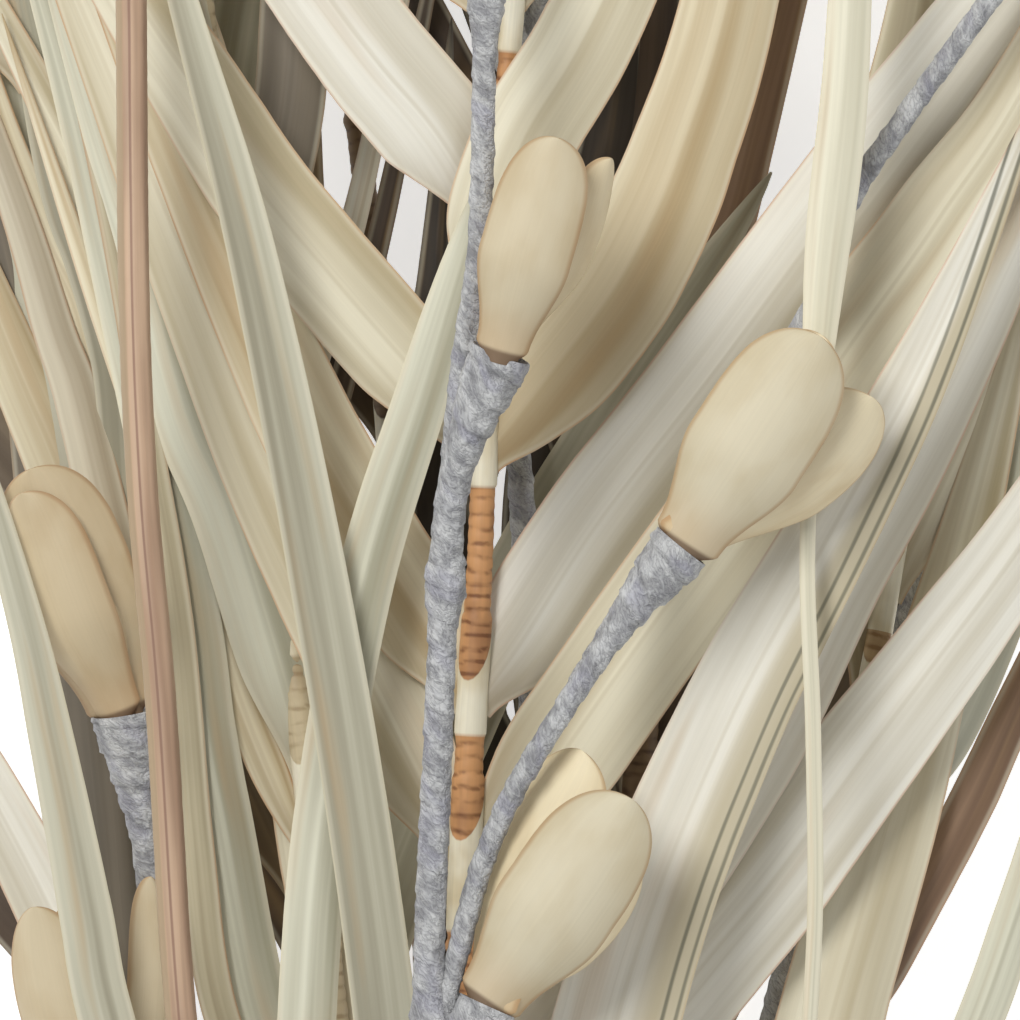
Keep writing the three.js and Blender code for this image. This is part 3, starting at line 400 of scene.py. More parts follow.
def leaf_material():
    """Faint veins over broad soft bands, painted shade on one half of the fold, brown painted shade at
    the root, brown stains along the folds, a painted highlight just inside the rims and a thin uneven
    line along them."""
    made, shader, w = material("dried_leaf", 0.62)
    across, along, grain = w.three("grain_at")
    half, share = w.surface("half"), w.surface("share")
    face, shade, edge = (w.surface(n, "Color") for n in ("face", "shade", "edge"))
    over = across / half
    fine = w.noise(w.vector(across * 2100, along * 14, grain * 57), 1, 3, 0.6)
    streak = w.noise(w.vector(across * 560, along * 8, grain * 31), 1, 3, 0.55)
    band = w.noise(w.vector(over * 1.5, along * 7, grain * 77), 1, 2)
    stain = w.noise(w.vector(over * 1.1, along * 13, grain * 19), 1, 2)
    # Painted shade on one half of each leaf's fold; the leaf's grain picks which half.
    leaning = (grain * 97).math("SINE") * 2
    painted_half_shade = (over * leaning + (band - 0.5) * 0.8).step(-0.1, 0.35)
    base = face.mixed(shade, painted_half_shade * 0.42 + band.step(0.4, 0.7) * 0.55)
    base = base.mixed(shade, streak.step(0.45, 0.75) * 0.3)
    base = base.mixed(STAIN, stain.step(0.55, 0.8) * 0.5)
    base = base.scaled(0.93 + 0.14 * fine)
    rib = 1 - abs(across).step(0.1 * MM, 0.6 * MM)
    base = base.mixed(shade, rib * 0.3)
    # Brown painted shade over the lowest fifth of the leaf, where it crowds against the stem.
    base = base.mixed(ROOT_SHADE_BROWN, (1 - share.step(0.0, 0.2)) * 0.55)
    rim = half - abs(across)
    # Painted highlight in a pale band just inside the rims.
    base = base.mixed(RIM_HIGHLIGHT, (1 - rim.step(0.5 * MM, 1.2 * MM)) * 0.3)
    line = 1 - rim.step(0.1 * MM, 0.5 * MM)
    base = base.mixed(edge, line * (0.2 + streak.step(0.3, 0.6) * 0.5))
    base = base.mixed(shade, share.step(0.93, 1.0) * 0.8)
    paired = abs(half - across - LINES_IN * MM) - LINES_APART * MM - (streak - 0.5) * 0.6 * MM
    stripe = (1 - abs(paired).step(0.1 * MM, 0.5 * MM)) * w.surface("lined")
    # The lined leaf's right half is mixed towards khaki: painted shade on that half of its fold.
    khaki = over.step(0.1, 0.5) * w.surface("lined")
    base = base.mixed(FOLD_SHADE_KHAKI, khaki * 0.75)
    base = base.mixed(STRIPE, stripe * (0.45 + 0.6 * band))
    feed(shader, w, base, 0.5 + 0.25 * streak, fine + 0.8 * streak + rib * 0.4, 0.3, 0.12 * MM)
    return made


LEAF_FINISH = leaf_material()

# face, soft shade and rim line of each kind of leaf
LOOKS = {
    "chalk": [(226, 222, 208), (184, 174, 148), (190, 148, 116)],
    "cream": [(224, 217, 192), (178, 164, 130), (190, 148, 108)],
    "wheat": [(218, 207, 176), (172, 150, 110), (184, 136, 90)],
    "sage": [(208, 206, 184), (158, 154, 130), (214, 206, 178)],
    "pith": [(226, 221, 198), (190, 184, 158), (218, 210, 184)],
    "moss": [(184, 180, 158), (136, 130, 108), (198, 190, 162)],
    "sand": [(190, 180, 150), (142, 128, 98), (172, 130, 92)],
    "rose": [(194, 184, 160), (150, 134, 108), (176, 136, 102)],
    "rust": [(150, 120, 92), (108, 82, 60), (176, 134, 100)],
    # These last four kinds are partly the brown of old leaves and partly painted shade, for leaves that lie
    # deep in the heap or behind others.
    "dusk": [(124, 114, 98), (86, 78, 64), (150, 128, 100)],
    "umber": [(116, 100, 78), (80, 65, 48), (150, 122, 90)],
    "bark": [(84, 68, 52), (56, 43, 32), (118, 92, 66)],
    "deep_shade_brown": [(60, 50, 38), (40, 32, 24), (84, 68, 52)],
}


def leaf_outline(t, taper=LEAF_TAPER, full=LEAF_FULL):
    root = LEAF_NECK + (1 - LEAF_NECK) * smooth(0, full, t)
    return root * np.power(1 - np.power(t, taper), TIP_POWER) + TIP_SHARE


def strap_outline(t):
    """A strap is a leaf on a long thin stalk, which widens only above its middle."""
    blade = STALK_SHARE + (1 - STALK_SHARE) * smooth(*STRAP_WIDENS, t)
    return blade * np.power(1 - np.power(t, STRAP_TAPER), TIP_POWER) + TIP_SHARE


def leaf(width, points, look, **form):
    return {"width": width, "points": points, "look": look, **form}


def leaf_line(one, layer, grain):
    """The midline of a leaf, with its frame, half width and colours at each row."""
    t = np.linspace(0, 1, LEAF_ROWS)
    roll = one.get("roll", (0, 0))
    centre, _, side, top = frames_on(route(one["points"], layer), t, lerp(roll[0], roll[1], t))
    centre[:, 2] += LIFT_STEP * one.get("lift", 0) * smooth(0, LIFTED_BY, t)
    outline = strap_outline(t) if one.get("strap") else leaf_outline(
        t, one.get("taper", LEAF_TAPER), one.get("full", LEAF_FULL))
    half = one["width"] / 2 * outline * MM
    flat = np.ones(LEAF_ROWS)
    face, shade, edge = (np.tile(colour(*c), (LEAF_ROWS, 1)) for c in LOOKS[one["look"]])
    return {"centre": centre, "across": side, "up": top, "half": half, "thick": LEAF_THICK * MM * flat,
            "roof": one.get("fold", LEAF_FOLD) * flat, "arch": LEAF_ARCH * math.sin(97 * grain) * flat,
            "share": t, "length": measured(centre) * MM, "grain": grain * flat,
            "lined": float(one.get("lined", False)) * flat, "face": face, "shade": shade, "edge": edge}


LEAFY_STEMS = {
    # The middle stem: broad leaves in two ranks, spread flat like a fan.
    "leafy_stem_middle": {
        "layer": 78,
        "stem": [*foot(3, 0), (-3, -280), (-6, -180), (-8, -90), (-7, -45), (-5, -7), (-3, 45), (1, 90),
                 (5, 150), (9, 212)],
        "leaves": [
            leaf(19.5, [(-7, -150), (4, -120), (18, -95), (33, -76), (44.5, -62), (58.8, -42.5), (72, -25),
                 (88, -3), (112, 35), (140, 85)], "chalk", lift=-3, roll=(0, 4)),
            leaf(19, [(-8, -108), (8, -86), (24, -64), (41, -37), (53.5, -12), (70, 17), (90, 60),
                 (110, 118)], "chalk", lift=-2, roll=(0, 3)),
            leaf(20, [(-8, -66), (4, -48), (22, -22), (45, 10), (58, 29), (72, 49), (90, 78), (122, 150)],
                 "cream", lift=1, roll=(0, 3)),
            leaf(19, [(-6, -33), (2, -22), (15, -2), (35, 24), (57, 54), (75, 78), (97, 108), (120, 158)],
                 "chalk", lift=-2, roll=(2, 4)),
            leaf(19, [(-4.5, 8.5), (0.5, 14), (7.5, 23), (17, 35.5), (23.5, 47), (29, 60), (36.5, 84),
                 (44, 125), (48, 175), (46, 215)], "wheat", lift=1, roll=(-6, 4), full=0.27),
            leaf(17, [(-3, 33), (-3, 45), (2, 61), (11, 76), (18, 90), (31, 120), (48, 165), (62, 210)],
                 "cream", lift=3, roll=(0, 4)),
            leaf(17, [(0, 85), (12, 105), (30, 135), (54, 175), (76, 228)], "cream", lift=-1, roll=(0, 6)),
            leaf(15, [(3, 125), (14, 150), (28, 185), (40, 232), (46, 280)], "sage", lift=2),
            leaf(13, [(6, 165), (14, 195), (22, 240), (26, 296)], "wheat", lift=1),
            leaf(17, [(-8, -60), (-17, -42), (-28, -20), (-40, 6), (-52, 36), (-66, 70), (-84, 112)],
                 "cream", lift=-3, roll=(0, -6)),
            leaf(17, [(-7, -33), (-14, -20), (-24, -4), (-34, 14), (-45, 38), (-60, 72), (-80, 118)],
                 "wheat", lift=-2, roll=(0, -6)),
            leaf(17, [(-5, 9), (-15, 22), (-28, 37), (-42, 54), (-53, 71), (-64, 88), (-84, 122),
                 (-106, 160)], "cream", lift=1, roll=(0, -6)),
            leaf(19, [(-3, 48), (-12, 63), (-22, 75), (-31, 87), (-48, 111), (-71, 144), (-94, 188)],
                 "chalk", lift=1, roll=(5, -5)),
            leaf(17, [(-2, 82), (-12, 100), (-26, 125), (-46, 160), (-64, 210)], "wheat", lift=-1,
                 roll=(0, -5)),
            leaf(15, [(1, 118), (-8, 140), (-20, 172), (-31, 215), (-36, 266)], "cream", lift=2),
            leaf(13, [(4, 158), (0, 185), (-7, 225), (-10, 278)], "sage", lift=-1),
            leaf(12, [(9, 205), (11, 240), (12, 305)], "cream", lift=1),
        ],
    },
    # The front stem is short. Its long narrow leaves run up over the others.
    "leafy_stem_front": {
        "layer": 96,
        "stem": [*foot(3, 2), (5, -300), (2, -240), (0, -200), (0, -172)],
        "leaves": [
            leaf(10.5, [(0, -215), (-12, -165), (-18, -115), (-21, -83), (-27, -40), (-35, 5), (-44, 47),
                 (-54, 83), (-70, 140)], "moss", lift=1),
            leaf(9.6, [(1, -240), (-22, -175), (-34, -115), (-33.8, -83), (-31, -50), (-24, -11),
                 (-13.5, 23), (-3, 58)], "sage", lift=-2.5, taper=14),
            leaf(9.2, [(3, -240), (30, -175), (46, -115), (50.5, -75), (50.5, -38), (49.5, -5), (52, 35),
                 (56, 75), (57, 120), (54, 172)], "pith", lift=2, strap=True),
            leaf(22.5, [(0, -200), (7, -145), (13.5, -104), (22.5, -70), (36.8, -35), (52.5, -5.7),
                 (65.8, 18.3), (77, 42), (90, 72)], "chalk", lift=-2.5, fold=-0.2, taper=1.95, lined=True),
            leaf(9.2, [(1, -230), (-20, -190), (-44, -145), (-60, -108), (-67.7, -83), (-70.5, -68),
                 (-73, -55), (-76.5, -38), (-81, -18), (-90, 12), (-106, 55)], "moss"),
        ],
    },
    "leafy_stem_left_inner": {
        "layer": 66,
        "stem": [*foot(2, -1), (-13, -230), (-27, -110), (-36, -30), (-47, 50), (-57, 130), (-64, 196)],
        "leaves": [
            leaf(11.5, [(-24, -135), (-34, -108), (-43, -84), (-49, -54), (-52, -37), (-54, -20), (-58, 2),
                 (-65, 32), (-75, 72), (-88, 115)], "sage", lift=0.9),
            leaf(6, [(-25, -125), (-39, -106), (-49, -84), (-53, -55), (-56, -20), (-61, 12), (-68, 50),
                 (-80, 100)], "sand", lift=2.4),
            leaf(6.5, [(-32.5, -62), (-39, -48), (-45.5, -32), (-51, -15), (-55.5, -5), (-62, 14),
                 (-72, 42), (-86, 84)], "wheat", lift=-0.6),
            leaf(13, [(-34, -47), (-37.5, -32), (-42.5, -15), (-48, 2), (-53, 13), (-56.5, 24), (-60, 37),
                 (-69, 64), (-82, 104)], "sage", lift=2.6),
            leaf(9, [(-37.5, -16), (-38.5, -5), (-41, 7), (-44.7, 18.5), (-47.5, 30), (-49, 49), (-53, 78),
                 (-61, 118), (-71, 162)], "moss", lift=1.4),
            leaf(4.5, [(-41, 5), (-46.5, 18), (-49.5, 30), (-51, 42), (-52.5, 52), (-56, 72), (-64, 108)],
                 "bark", lift=-0.6),
            leaf(6.5, [(-38, -20), (-46, -3), (-51.5, 12), (-53.5, 27), (-54.7, 37), (-56.5, 48), (-58, 60),
                 (-63, 88), (-72, 128)], "cream", lift=0.2),
            leaf(12, [(-45, 32), (-41, 50), (-37.5, 68), (-36.5, 84), (-37, 112), (-42, 150), (-47, 190)],
                 "dusk", lift=-1),
            leaf(14, [(-47, 50), (-58, 85), (-75, 125), (-100, 170)], "wheat", lift=-2, roll=(0, -6)),
            leaf(13, [(-53, 95), (-60, 135), (-73, 180), (-84, 228)], "sage", lift=1),
            leaf(12, [(-58, 135), (-54, 175), (-50, 222)], "cream", lift=2),
            leaf(12, [(-64, 190), (-68, 230), (-70, 285)], "sand"),
            leaf(12, [(-27, -105), (-32, -65), (-37, -35), (-46, 0), (-58, 28), (-76, 64), (-98, 106)],
                 "cream", lift=-2.4, roll=(0, -6)),
        ],
    },
    "leafy_stem_left_outer": {
        "layer": 54,
        "stem": [*foot(2, -3), (-25, -250), (-45, -150), (-58, -80), (-70, 0), (-82, 80), (-94, 150)],
        "leaves": [
            leaf(13, [(-33, -205), (-47, -150), (-62, -106), (-79, -66), (-99, -30), (-124, 10)], "chalk",
                 lift=-2, roll=(0, -6)),
            leaf(11, [(-64, -42), (-70, -12), (-77, 8), (-83, 22), (-94, 48), (-114, 92)], "wheat",
                 lift=-1),
            leaf(8, [(-60, -68), (-62, -38), (-66, -13), (-70.5, 7), (-74, 21), (-77.5, 31), (-84, 52),
                 (-99, 92), (-116, 134)], "rose", lift=2.4),
            leaf(8, [(-65, -32), (-65, -5), (-66, 18), (-68, 30), (-71.5, 42), (-75, 51), (-78, 62),
                 (-82, 82), (-91, 120), (-105, 168)], "moss", lift=3),
            leaf(5.5, [(-67, -22), (-69, 15), (-73, 34), (-78, 45), (-81.5, 54), (-86, 66), (-97, 98),
                 (-112, 140)], "wheat", lift=1.2),
            leaf(9, [(-70, -2), (-67, 28), (-67.5, 46), (-69, 58), (-71.5, 69), (-75, 82), (-83, 114),
                 (-94, 160)], "chalk", lift=2),
            leaf(6.5, [(-73, 22), (-67.5, 45), (-65.5, 60), (-66, 72), (-68.5, 88), (-74, 116), (-82, 156)],
                 "sand", lift=1),
            leaf(16, [(-81, 72), (-97, 100), (-118, 134), (-145, 178)], "cream", lift=-2, roll=(0, -6)),
            leaf(15, [(-84, 92), (-100, 127), (-122, 167), (-142, 215)], "sage", lift=0, roll=(0, -5)),
            leaf(13, [(-90, 122), (-98, 165), (-110, 225)], "sand", lift=2),
            leaf(12, [(-94, 148), (-92, 190), (-94, 250)], "cream", lift=-1),
            leaf(20, [(-46, -150), (-59, -118), (-66.5, -83), (-70, -50), (-73.5, -20), (-80, 20),
                 (-91, 66)], "dusk", lift=-3),
            leaf(15, [(-68, -12), (-77, 30), (-84, 70), (-92, 112), (-104, 158)], "moss", lift=-3),
        ],
    },
    "leafy_stem_right_outer": {
        "layer": 61,
        "stem": [*foot(2, 3), (22, -250), (40, -150), (54, -70), (68, 10), (84, 90), (98, 160)],
        "leaves": [
            leaf(17, [(32, -195), (64, -160), (95.5, -120), (125, -70), (151, -10)], "sage", lift=-2,
                 roll=(0, 3)),
            leaf(8, [(42, -150), (62, -120), (77, -92), (86, -68), (95, -40), (106, -5), (120, 46)], "sage",
                 lift=1),
            leaf(8, [(52, -98), (64, -76), (77, -52), (85, -35), (98, -7), (117, 34)], "rust", lift=-2),
            leaf(18, [(36, -172), (42, -138), (49, -108), (55, -83), (63.3, -55), (69.5, -33), (78, -2),
                 (90, 45)], "cream", lift=2, fold=0.2),
            leaf(14, [(56, -62), (70, -40), (80, -18), (84, -2), (87, 20), (92, 50), (104, 96)], "sage",
                 lift=0, roll=(0, 3)),
            leaf(14, [(64, -15), (78, 15), (90, 45), (104, 85), (118, 136)], "cream", lift=1, roll=(0, 5)),
            leaf(15, [(72, 35), (88, 65), (108, 102), (130, 152)], "rose", lift=-2, roll=(0, 6)),
            leaf(14, [(82, 80), (98, 112), (118, 155), (134, 205)], "cream", lift=0, roll=(0, 6)),
            leaf(13, [(92, 125), (104, 160), (118, 215)], "sage", lift=1),
            leaf(12, [(98, 156), (101, 200), (100, 258)], "sand", lift=-1),
            leaf(14, [(60, -30), (58, 10), (62, 50), (70, 90), (76, 148)], "sand", lift=2),
            leaf(13, [(75, 45), (73, 85), (78, 130), (82, 190)], "rose", lift=2),
        ],
    },
}

# The four stems underneath follow one rule: leaves in two ranks, each leaving its stem at a
# narrow angle and curving outwards, except where the bunch has a gap that shows the table.
GAPS = [(-30, 59, 2), (-18, 45, 4), (48, 72, 4), (-81, -34, 3), (-79, -55, 2), (76, -60, 5), (71, -78, 4),
        (80, -38, 2)]
UNDER_LEAVES = 10
UNDER_LIFTS = [2, -2, 1, -1]
UNDER_ROLL, UNDER_FOLD = 6, 0.06
FIRST_LEAF, LEAF_STEP, LAST_ROOT = -185, 39, 0.985
CUT_SCATTER = 6
# The lowest leaf's value, the share of it lost at the top leaf, and the scatter.
RANKED = {"length": (218, 0.42, 0.1), "width": (16.5, 0.25, 0.1), "leave": (24, 0.45, 4),
          "spread": (40, 0.6, 8)}


def wobble(i):
    """Even scatter from -1 to 1, the same on every run."""
    return 2 * ((i * GOLDEN) % 1) - 1


def covers_gap(points, width):
    t = np.arange(0, 1.0001, 0.02)
    p = spline(route(points, 0), t)
    wide = width / 2 * leaf_outline(np.minimum(t, 1))
    return any((np.hypot(p[:, 0] - x, p[:, 1] - HEAD - y) < radius + wide).any() for x, y, radius in GAPS)


def ranked_leaves(stem, layer, seed, looks):
    way = route(stem, layer)
    fine = np.arange(0, 1.004, 0.004)
    reach = spline(way, fine)[:, 1]
    leaves = []
    for k in range(UNDER_LEAVES):
        t = min(fine[np.argmax(reach >= HEAD + FIRST_LEAF + k * LEAF_STEP)], LAST_ROOT)
        root, before, after = spline(way, np.array([t, t - 0.01, min(1, t + 0.01)]))
        heading = math.atan2(after[0] - before[0], after[1] - before[1])
        side = 1 if (k + seed) % 2 else -1
        near_tip = k / (UNDER_LEAVES - 1)

        def scaled(what, i):
            low, lost, scatter = RANKED[what]
            return low * (1 - lost * near_tip) * (1 + scatter * wobble(i))

        def turned(what, i):
            low, lost, scatter = RANKED[what]
            return heading + side * math.radians(low * (1 - lost * near_tip) + scatter * wobble(i))

        length = scaled("length", k + 3 * seed)
        leave, spread = turned("leave", 7 * k + seed), turned("spread", 5 * k + seed)
        points = [(root[0], root[1] - HEAD)]
        for share, angle in [(0.22, leave), (0.4, lerp(leave, spread, 0.6)), (0.38, spread)]:
            x, y = points[-1]
            points.append((x + share * length * math.sin(angle), y + share * length * math.cos(angle)))
        width = scaled("width", 11 * k + seed)
        if not covers_gap(points, width):
            leaves.append(leaf(width, points, looks[k % len(looks)], lift=UNDER_LIFTS[k % 4],
                               roll=(0, side * UNDER_ROLL), fold=UNDER_FOLD))
    return leaves


# The stems underneath carry the darkest kinds of leaf: partly their own brown, partly painted shade for the
# depth of the heap.
UNDERNEATH = {
    "leafy_stem_under_left": {
        "layer": 37, "row": 1, "place": -2, "seed": 1, "looks": ["umber", "bark", "moss", "umber"],
        "stem": [(-20, -200), (-34, -80), (-44, 0), (-56, 80), (-68, 150), (-76, 206)],
        "more": [
            leaf(9, [(-38, -45), (-38, 0), (-36, 35), (-36, 58), (-37, 84), (-42, 130)], "umber", lift=1),
            leaf(4.6, [(-42, -12), (-36, 15), (-31, 33), (-27, 48), (-23.5, 63), (-18, 90), (-11, 130)],
                 "chalk", lift=2),
            leaf(4.2, [(-40, -30), (-32, 8), (-26, 32), (-22.5, 46), (-19, 62), (-14, 88), (-6, 124)],
                 "bark", lift=-1),
            leaf(7, [(-39, -40), (-26, -8), (-17, 14), (-13.5, 34), (-12, 52), (-10, 84)], "deep_shade_brown"),
        ],
    },
    "leafy_stem_under_right": {
        "layer": 27, "row": 1, "place": 2, "seed": 2, "looks": ["bark", "umber", "deep_shade_brown", "bark"],
        "stem": [(14, -200), (20, -80), (28, 20), (37, 52), (42, 72), (46, 92), (54, 150), (62, 210)],
        "more": [
            leaf(15, [(18, -110), (14, -70), (8, -30), (6, 0), (10, 30), (18, 70), (22, 110)], "deep_shade_brown",
                 lift=1),
            leaf(14, [(19, -90), (26, -40), (32, 0), (34, 25), (34, 55), (30, 100)], "bark", lift=-1),
            leaf(13, [(17, -120), (6, -85), (-4, -50), (-10, -15), (-12, 12), (-8, 60)], "deep_shade_brown", lift=-2),
            leaf(9, [(27, -20), (30.5, 15), (34.5, 38), (39, 55), (43, 71), (47, 86), (54, 114), (62, 152)],
                 "rust", lift=2),
            leaf(11, [(21, -60), (21, 0), (22, 36), (24.5, 66), (26, 90), (28, 126)], "bark", lift=1),
        ],
    },
    "leafy_stem_low_left": {
        "layer": 17, "row": 0, "place": -1, "seed": 5, "looks": ["deep_shade_brown", "bark", "bark"], "more": [],
        "stem": [(-8, -200), (-14, -80), (-21, 20), (-25, 55), (-29, 90), (-35, 150), (-41, 222)],
    },
    "leafy_stem_low_right": {
        "layer": 4.5, "row": 0, "place": 1, "seed": 8, "looks": ["deep_shade_brown", "umber", "bark"], "more": [],
        "stem": [(4, -200), (8, -80), (12, 40), (14, 150), (16, 236)],
    },
}
for name, plan in UNDERNEATH.items():
    whole = [*foot(plan["row"], plan["place"], CUT_SCATTER * wobble(plan["seed"])), *plan["stem"]]
    ranked = ranked_leaves(whole, plan["layer"], plan["seed"], plan["looks"])
    LEAFY_STEMS[name] = {"layer": plan["layer"], "stem": whole, "leaves": [*ranked, *plan["more"]]}

LEAF_FORM = {"Columns": LEAF_COLUMNS, "Finish": LEAF_FINISH, "Waves": 3.0, "Wave Height": 0.3 * MM,
             "Fray": 0.06}
for number, (node, plan) in enumerate(LEAFY_STEMS.items()):
    midlines = [leaf_line(one, plan["layer"], (0.37 * number + GOLDEN * k) % 1)
                for k, one in enumerate(plan["leaves"])]
    blades = swept(node.replace("leafy_stem", "leaves"), BLADE, midlines, LEAF_FORM)
    finished(blades, "brown_leaf" if node in UNDERNEATH else "pale_leaf", node)


# ---------------------------------------------------------------- stems of the leaves
# Each leafy stem is a cane: smooth cream sheaths where a leaf clasps it, and tan bark wrinkled in
# rings between them. Below the leaves it is bare, with a swollen node every few centimetres.
STEM_RADIUS = 2.6
STEM_ROW = 0.55  # length between rows
SHEATH_BELOW, SHEATH_ABOVE, SHEATH_WALL = 4.7, 15, 0.35
SHEATH_RISES, SHEATH_ENDS = 0.4, 0.8  # the lengths over which a sheath rises and ends
STEM_NARROWS_FROM, STEM_NARROWS = 0.45, 0.5
NODE_STEP, NODE_HALF, NODE_BULGE = 43, 1.3, 0.4
RING_PITCH, RING_HEIGHT = 2.3, 0.22
CORE = 0.02  # a cut end closes to this share of its radius
NOTCH = 10  # depth of the V at the top of a sheath
NO_SHEATH = -99.0


def place_rod(w, given, skin, across, face):
    """A round section with rings, tape laps, grooves and crumples, as far as the line's relief says."""
    radius, length, relief = (w.named(n) for n in ("half", "length", "relief"))
    turn = w.named("turn")
    wrap = w.vector(radius * across, radius * face, length)
    sway = w.noise(wrap.plus(w.vector(0.0, 0.0, w.named("grain"))), 180, 1) - 0.5
    phase = length / given["Ring Pitch"] + sway * 1.4
    ring = abs((phase * math.pi).math("SINE")) ** 0.5
    lap = 1 - (length / given["Lap Pitch"] - turn + sway * 0.25).math("FRACT")
    groove = (turn * math.tau * given["Grooves"]).math("COSINE")
    crumple = w.noise(wrap, 1 / given["Crumple Size"], 3, 0.6) - 0.5
    rise = given["Ring Height"] * (ring - 0.7) + given["Lap Height"] * (lap - 0.5)
    rise = rise + given["Groove Depth"] * groove / 2 + given["Crumple Height"] * crumple * 2
    radius = radius + rise * relief
    at = w.named("across", "FLOAT_VECTOR").scaled(radius * across)
    at = at.plus(w.named("up", "FLOAT_VECTOR").scaled(radius * face)).plus(w.named("centre", "FLOAT_VECTOR"))
    at = w.vector(at.part(0), at.part(1), at.part(2).math("MAXIMUM", 0.0))
    for title, value in [("ring", ring), ("lap", lap), ("crumple", crumple)]:
        skin = skin.stored(title, value)
    skin = skin.stored("wrap", wrap, "FLOAT_VECTOR")
    return w.node("GeometryNodeSetPosition", None, {"Geometry": skin, "Position": at})


ROD = sweep_tree("rod", [
    ("Ring Pitch", "Float", 1.0), ("Ring Height", "Float", 0.0), ("Lap Pitch", "Float", 1.0),
    ("Lap Height", "Float", 0.0), ("Grooves", "Int", 0), ("Groove Depth", "Float", 0.0),
    ("Crumple Size", "Float", 1.0), ("Crumple Height", "Float", 0.0)], place_rod)


def even_shares(way, spacing):
    """Shares of a route, spaced evenly along its real length."""
    fine = np.linspace(0, 1, 3000)
    reach = measured(on_route(way, fine))
    return np.interp(np.linspace(0, reach[-1], int(reach[-1] / spacing) + 2), reach, fine)


def with_ends(line):
    """Closes a rod with a flat face at each end: core is 0 at the middle of that face."""
    rows = np.arange(-1, len(line["centre"]) + 1).clip(0, len(line["centre"]) - 1)
    whole = {key: values[rows] for key, values in line.items()}
    whole["core"] = np.ones(len(rows))
    whole["half"] = whole["half"].copy()
    for end in (0, -1):
        whole["core"][end] = 0
        whole["half"][end] *= CORE
    return whole


def rod_line(centre, side, top, radius, grain, **values):
    """The line of a rod with its frame, radius and any further values, closed at both ends."""
    flat = np.ones(len(centre))
    line = {"centre": centre, "across": side, "up": top, "half": radius * MM,
            "length": measured(centre) * MM, "grain": grain * flat}
    for key, value in values.items():
        value = np.asarray(value, float)
        line[key] = np.tile(value, (len(centre), 1)) if key in ("face", "shade") else value * flat
    return with_ends(line)


SHEATH_CREAM, SHEATH_SHADE = colour(228, 221, 198), colour(205, 190, 155)
CUT_FACE, CUT_HEART = colour(222, 206, 170), colour(150, 122, 88)


def stem_material():
    """Tan bark with dark rings, cream sheaths that open in a V, and a pale cut face."""
    made, shader, w = material("cane", 0.55)
    around, beside, along = w.three("wrap")
    face, shade, sheath = w.surface("face", "Color"), w.surface("shade", "Color"), w.surface("sheath")
    fibre = w.noise(w.vector(around * 1900, beside * 1900, along * 60), 1, 3, 0.6)
    cloud = w.noise(w.vector(around * 200, beside * 200, along * 110), 1, 2)
    uneven = w.noise(w.vector(around * 260, beside * 260, along * 420), 1, 2)
    rings = (1 - w.surface("ring").step(0.3, 0.9)) * uneven.step(0.3, 0.6)
    bark = face.mixed(shade, 0.8 * rings + 0.5 * cloud.step(0.45, 0.7))
    cream = cloud.step(0.4, 0.8).between(SHEATH_CREAM, SHEATH_SHADE)
    opening = beside / w.surface("half") * 0.5 + around / w.surface("half") * -0.2 + 0.5
    inside = (w.surface("below") - opening * NOTCH * MM).step(0.0, 0.4 * MM)
    base = bark.mixed(cream, sheath * inside).scaled(0.86 + 0.28 * fibre)
    core = w.surface("core")
    base = base.mixed(CUT_FACE, 1 - core.step(0.9, 0.98))
    base = base.mixed(CUT_HEART, (1 - core.step(0.0, 0.25)) * 0.7)
    feed(shader, w, base, 0.45 + 0.3 * fibre, fibre + 0.4 * cloud, 0.3, 0.12 * MM)
    return made


STEM_FINISH = stem_material()
BARKS = {
    "leafy_stem_middle": [(198, 146, 96), (122, 76, 42)],
    "leafy_stem_front": [(190, 172, 132), (148, 124, 88)],
    "leafy_stem_left_inner": [(196, 180, 146), (160, 138, 104)],
    "leafy_stem_left_outer": [(176, 160, 122), (130, 110, 78)],
    "leafy_stem_right_outer": [(196, 168, 126), (146, 112, 74)],
}
# The stems underneath are darker: partly their own brown, partly painted shade for the depth of the heap.
DARK_BARK = [(128, 104, 76), (86, 64, 44)]

for number, (node, plan) in enumerate(LEAFY_STEMS.items()):
    way = route(plan["stem"], plan["layer"])
    t = even_shares(way, STEM_ROW)
    centre, _, side, top = frames_on(way, t)
    reach = measured(centre)
    sheath = np.zeros(len(t))
    below = np.full(len(t), NO_SHEATH)
    for one in plan["leaves"]:
        root = np.array(one["points"][0][:2]) + (0, HEAD)
        at = reach[np.argmin(np.linalg.norm(centre[:, :2] - root, axis=1))]
        clasp = smooth(at - SHEATH_BELOW - SHEATH_RISES, at - SHEATH_BELOW, reach)
        clasp = clasp * (1 - smooth(at + SHEATH_ABOVE, at + SHEATH_ABOVE + SHEATH_ENDS, reach))
        sheath = np.maximum(sheath, clasp)
        below = np.where(clasp > 0, np.maximum(below, at + SHEATH_ABOVE - reach), below)
    bulge = np.exp(-((reach / NODE_STEP % 1 - 0.5) * NODE_STEP / NODE_HALF) ** 2) * (1 - sheath)
    radius = STEM_RADIUS * (1 - STEM_NARROWS * smooth(STEM_NARROWS_FROM, 1, t))
    radius = radius + SHEATH_WALL * sheath + NODE_BULGE * bulge
    face, shade = (colour(*c) for c in BARKS.get(node, DARK_BARK))
    cane = rod_line(centre, side, top, radius, 0.13 * number, relief=1 - sheath, sheath=sheath,
                    below=below * MM, face=face, shade=shade)
    piece = swept(node.replace("leafy_stem", "stem"), ROD, [cane], {
        "Columns": 20, "Finish": STEM_FINISH, "Ring Pitch": RING_PITCH * MM, "Ring Height": RING_HEIGHT * MM,
        "Crumple Size": 1.2 * MM, "Crumple Height": 0.08 * MM})
    finished(piece, "brown_leaf" if node in UNDERNEATH else "pale_leaf")


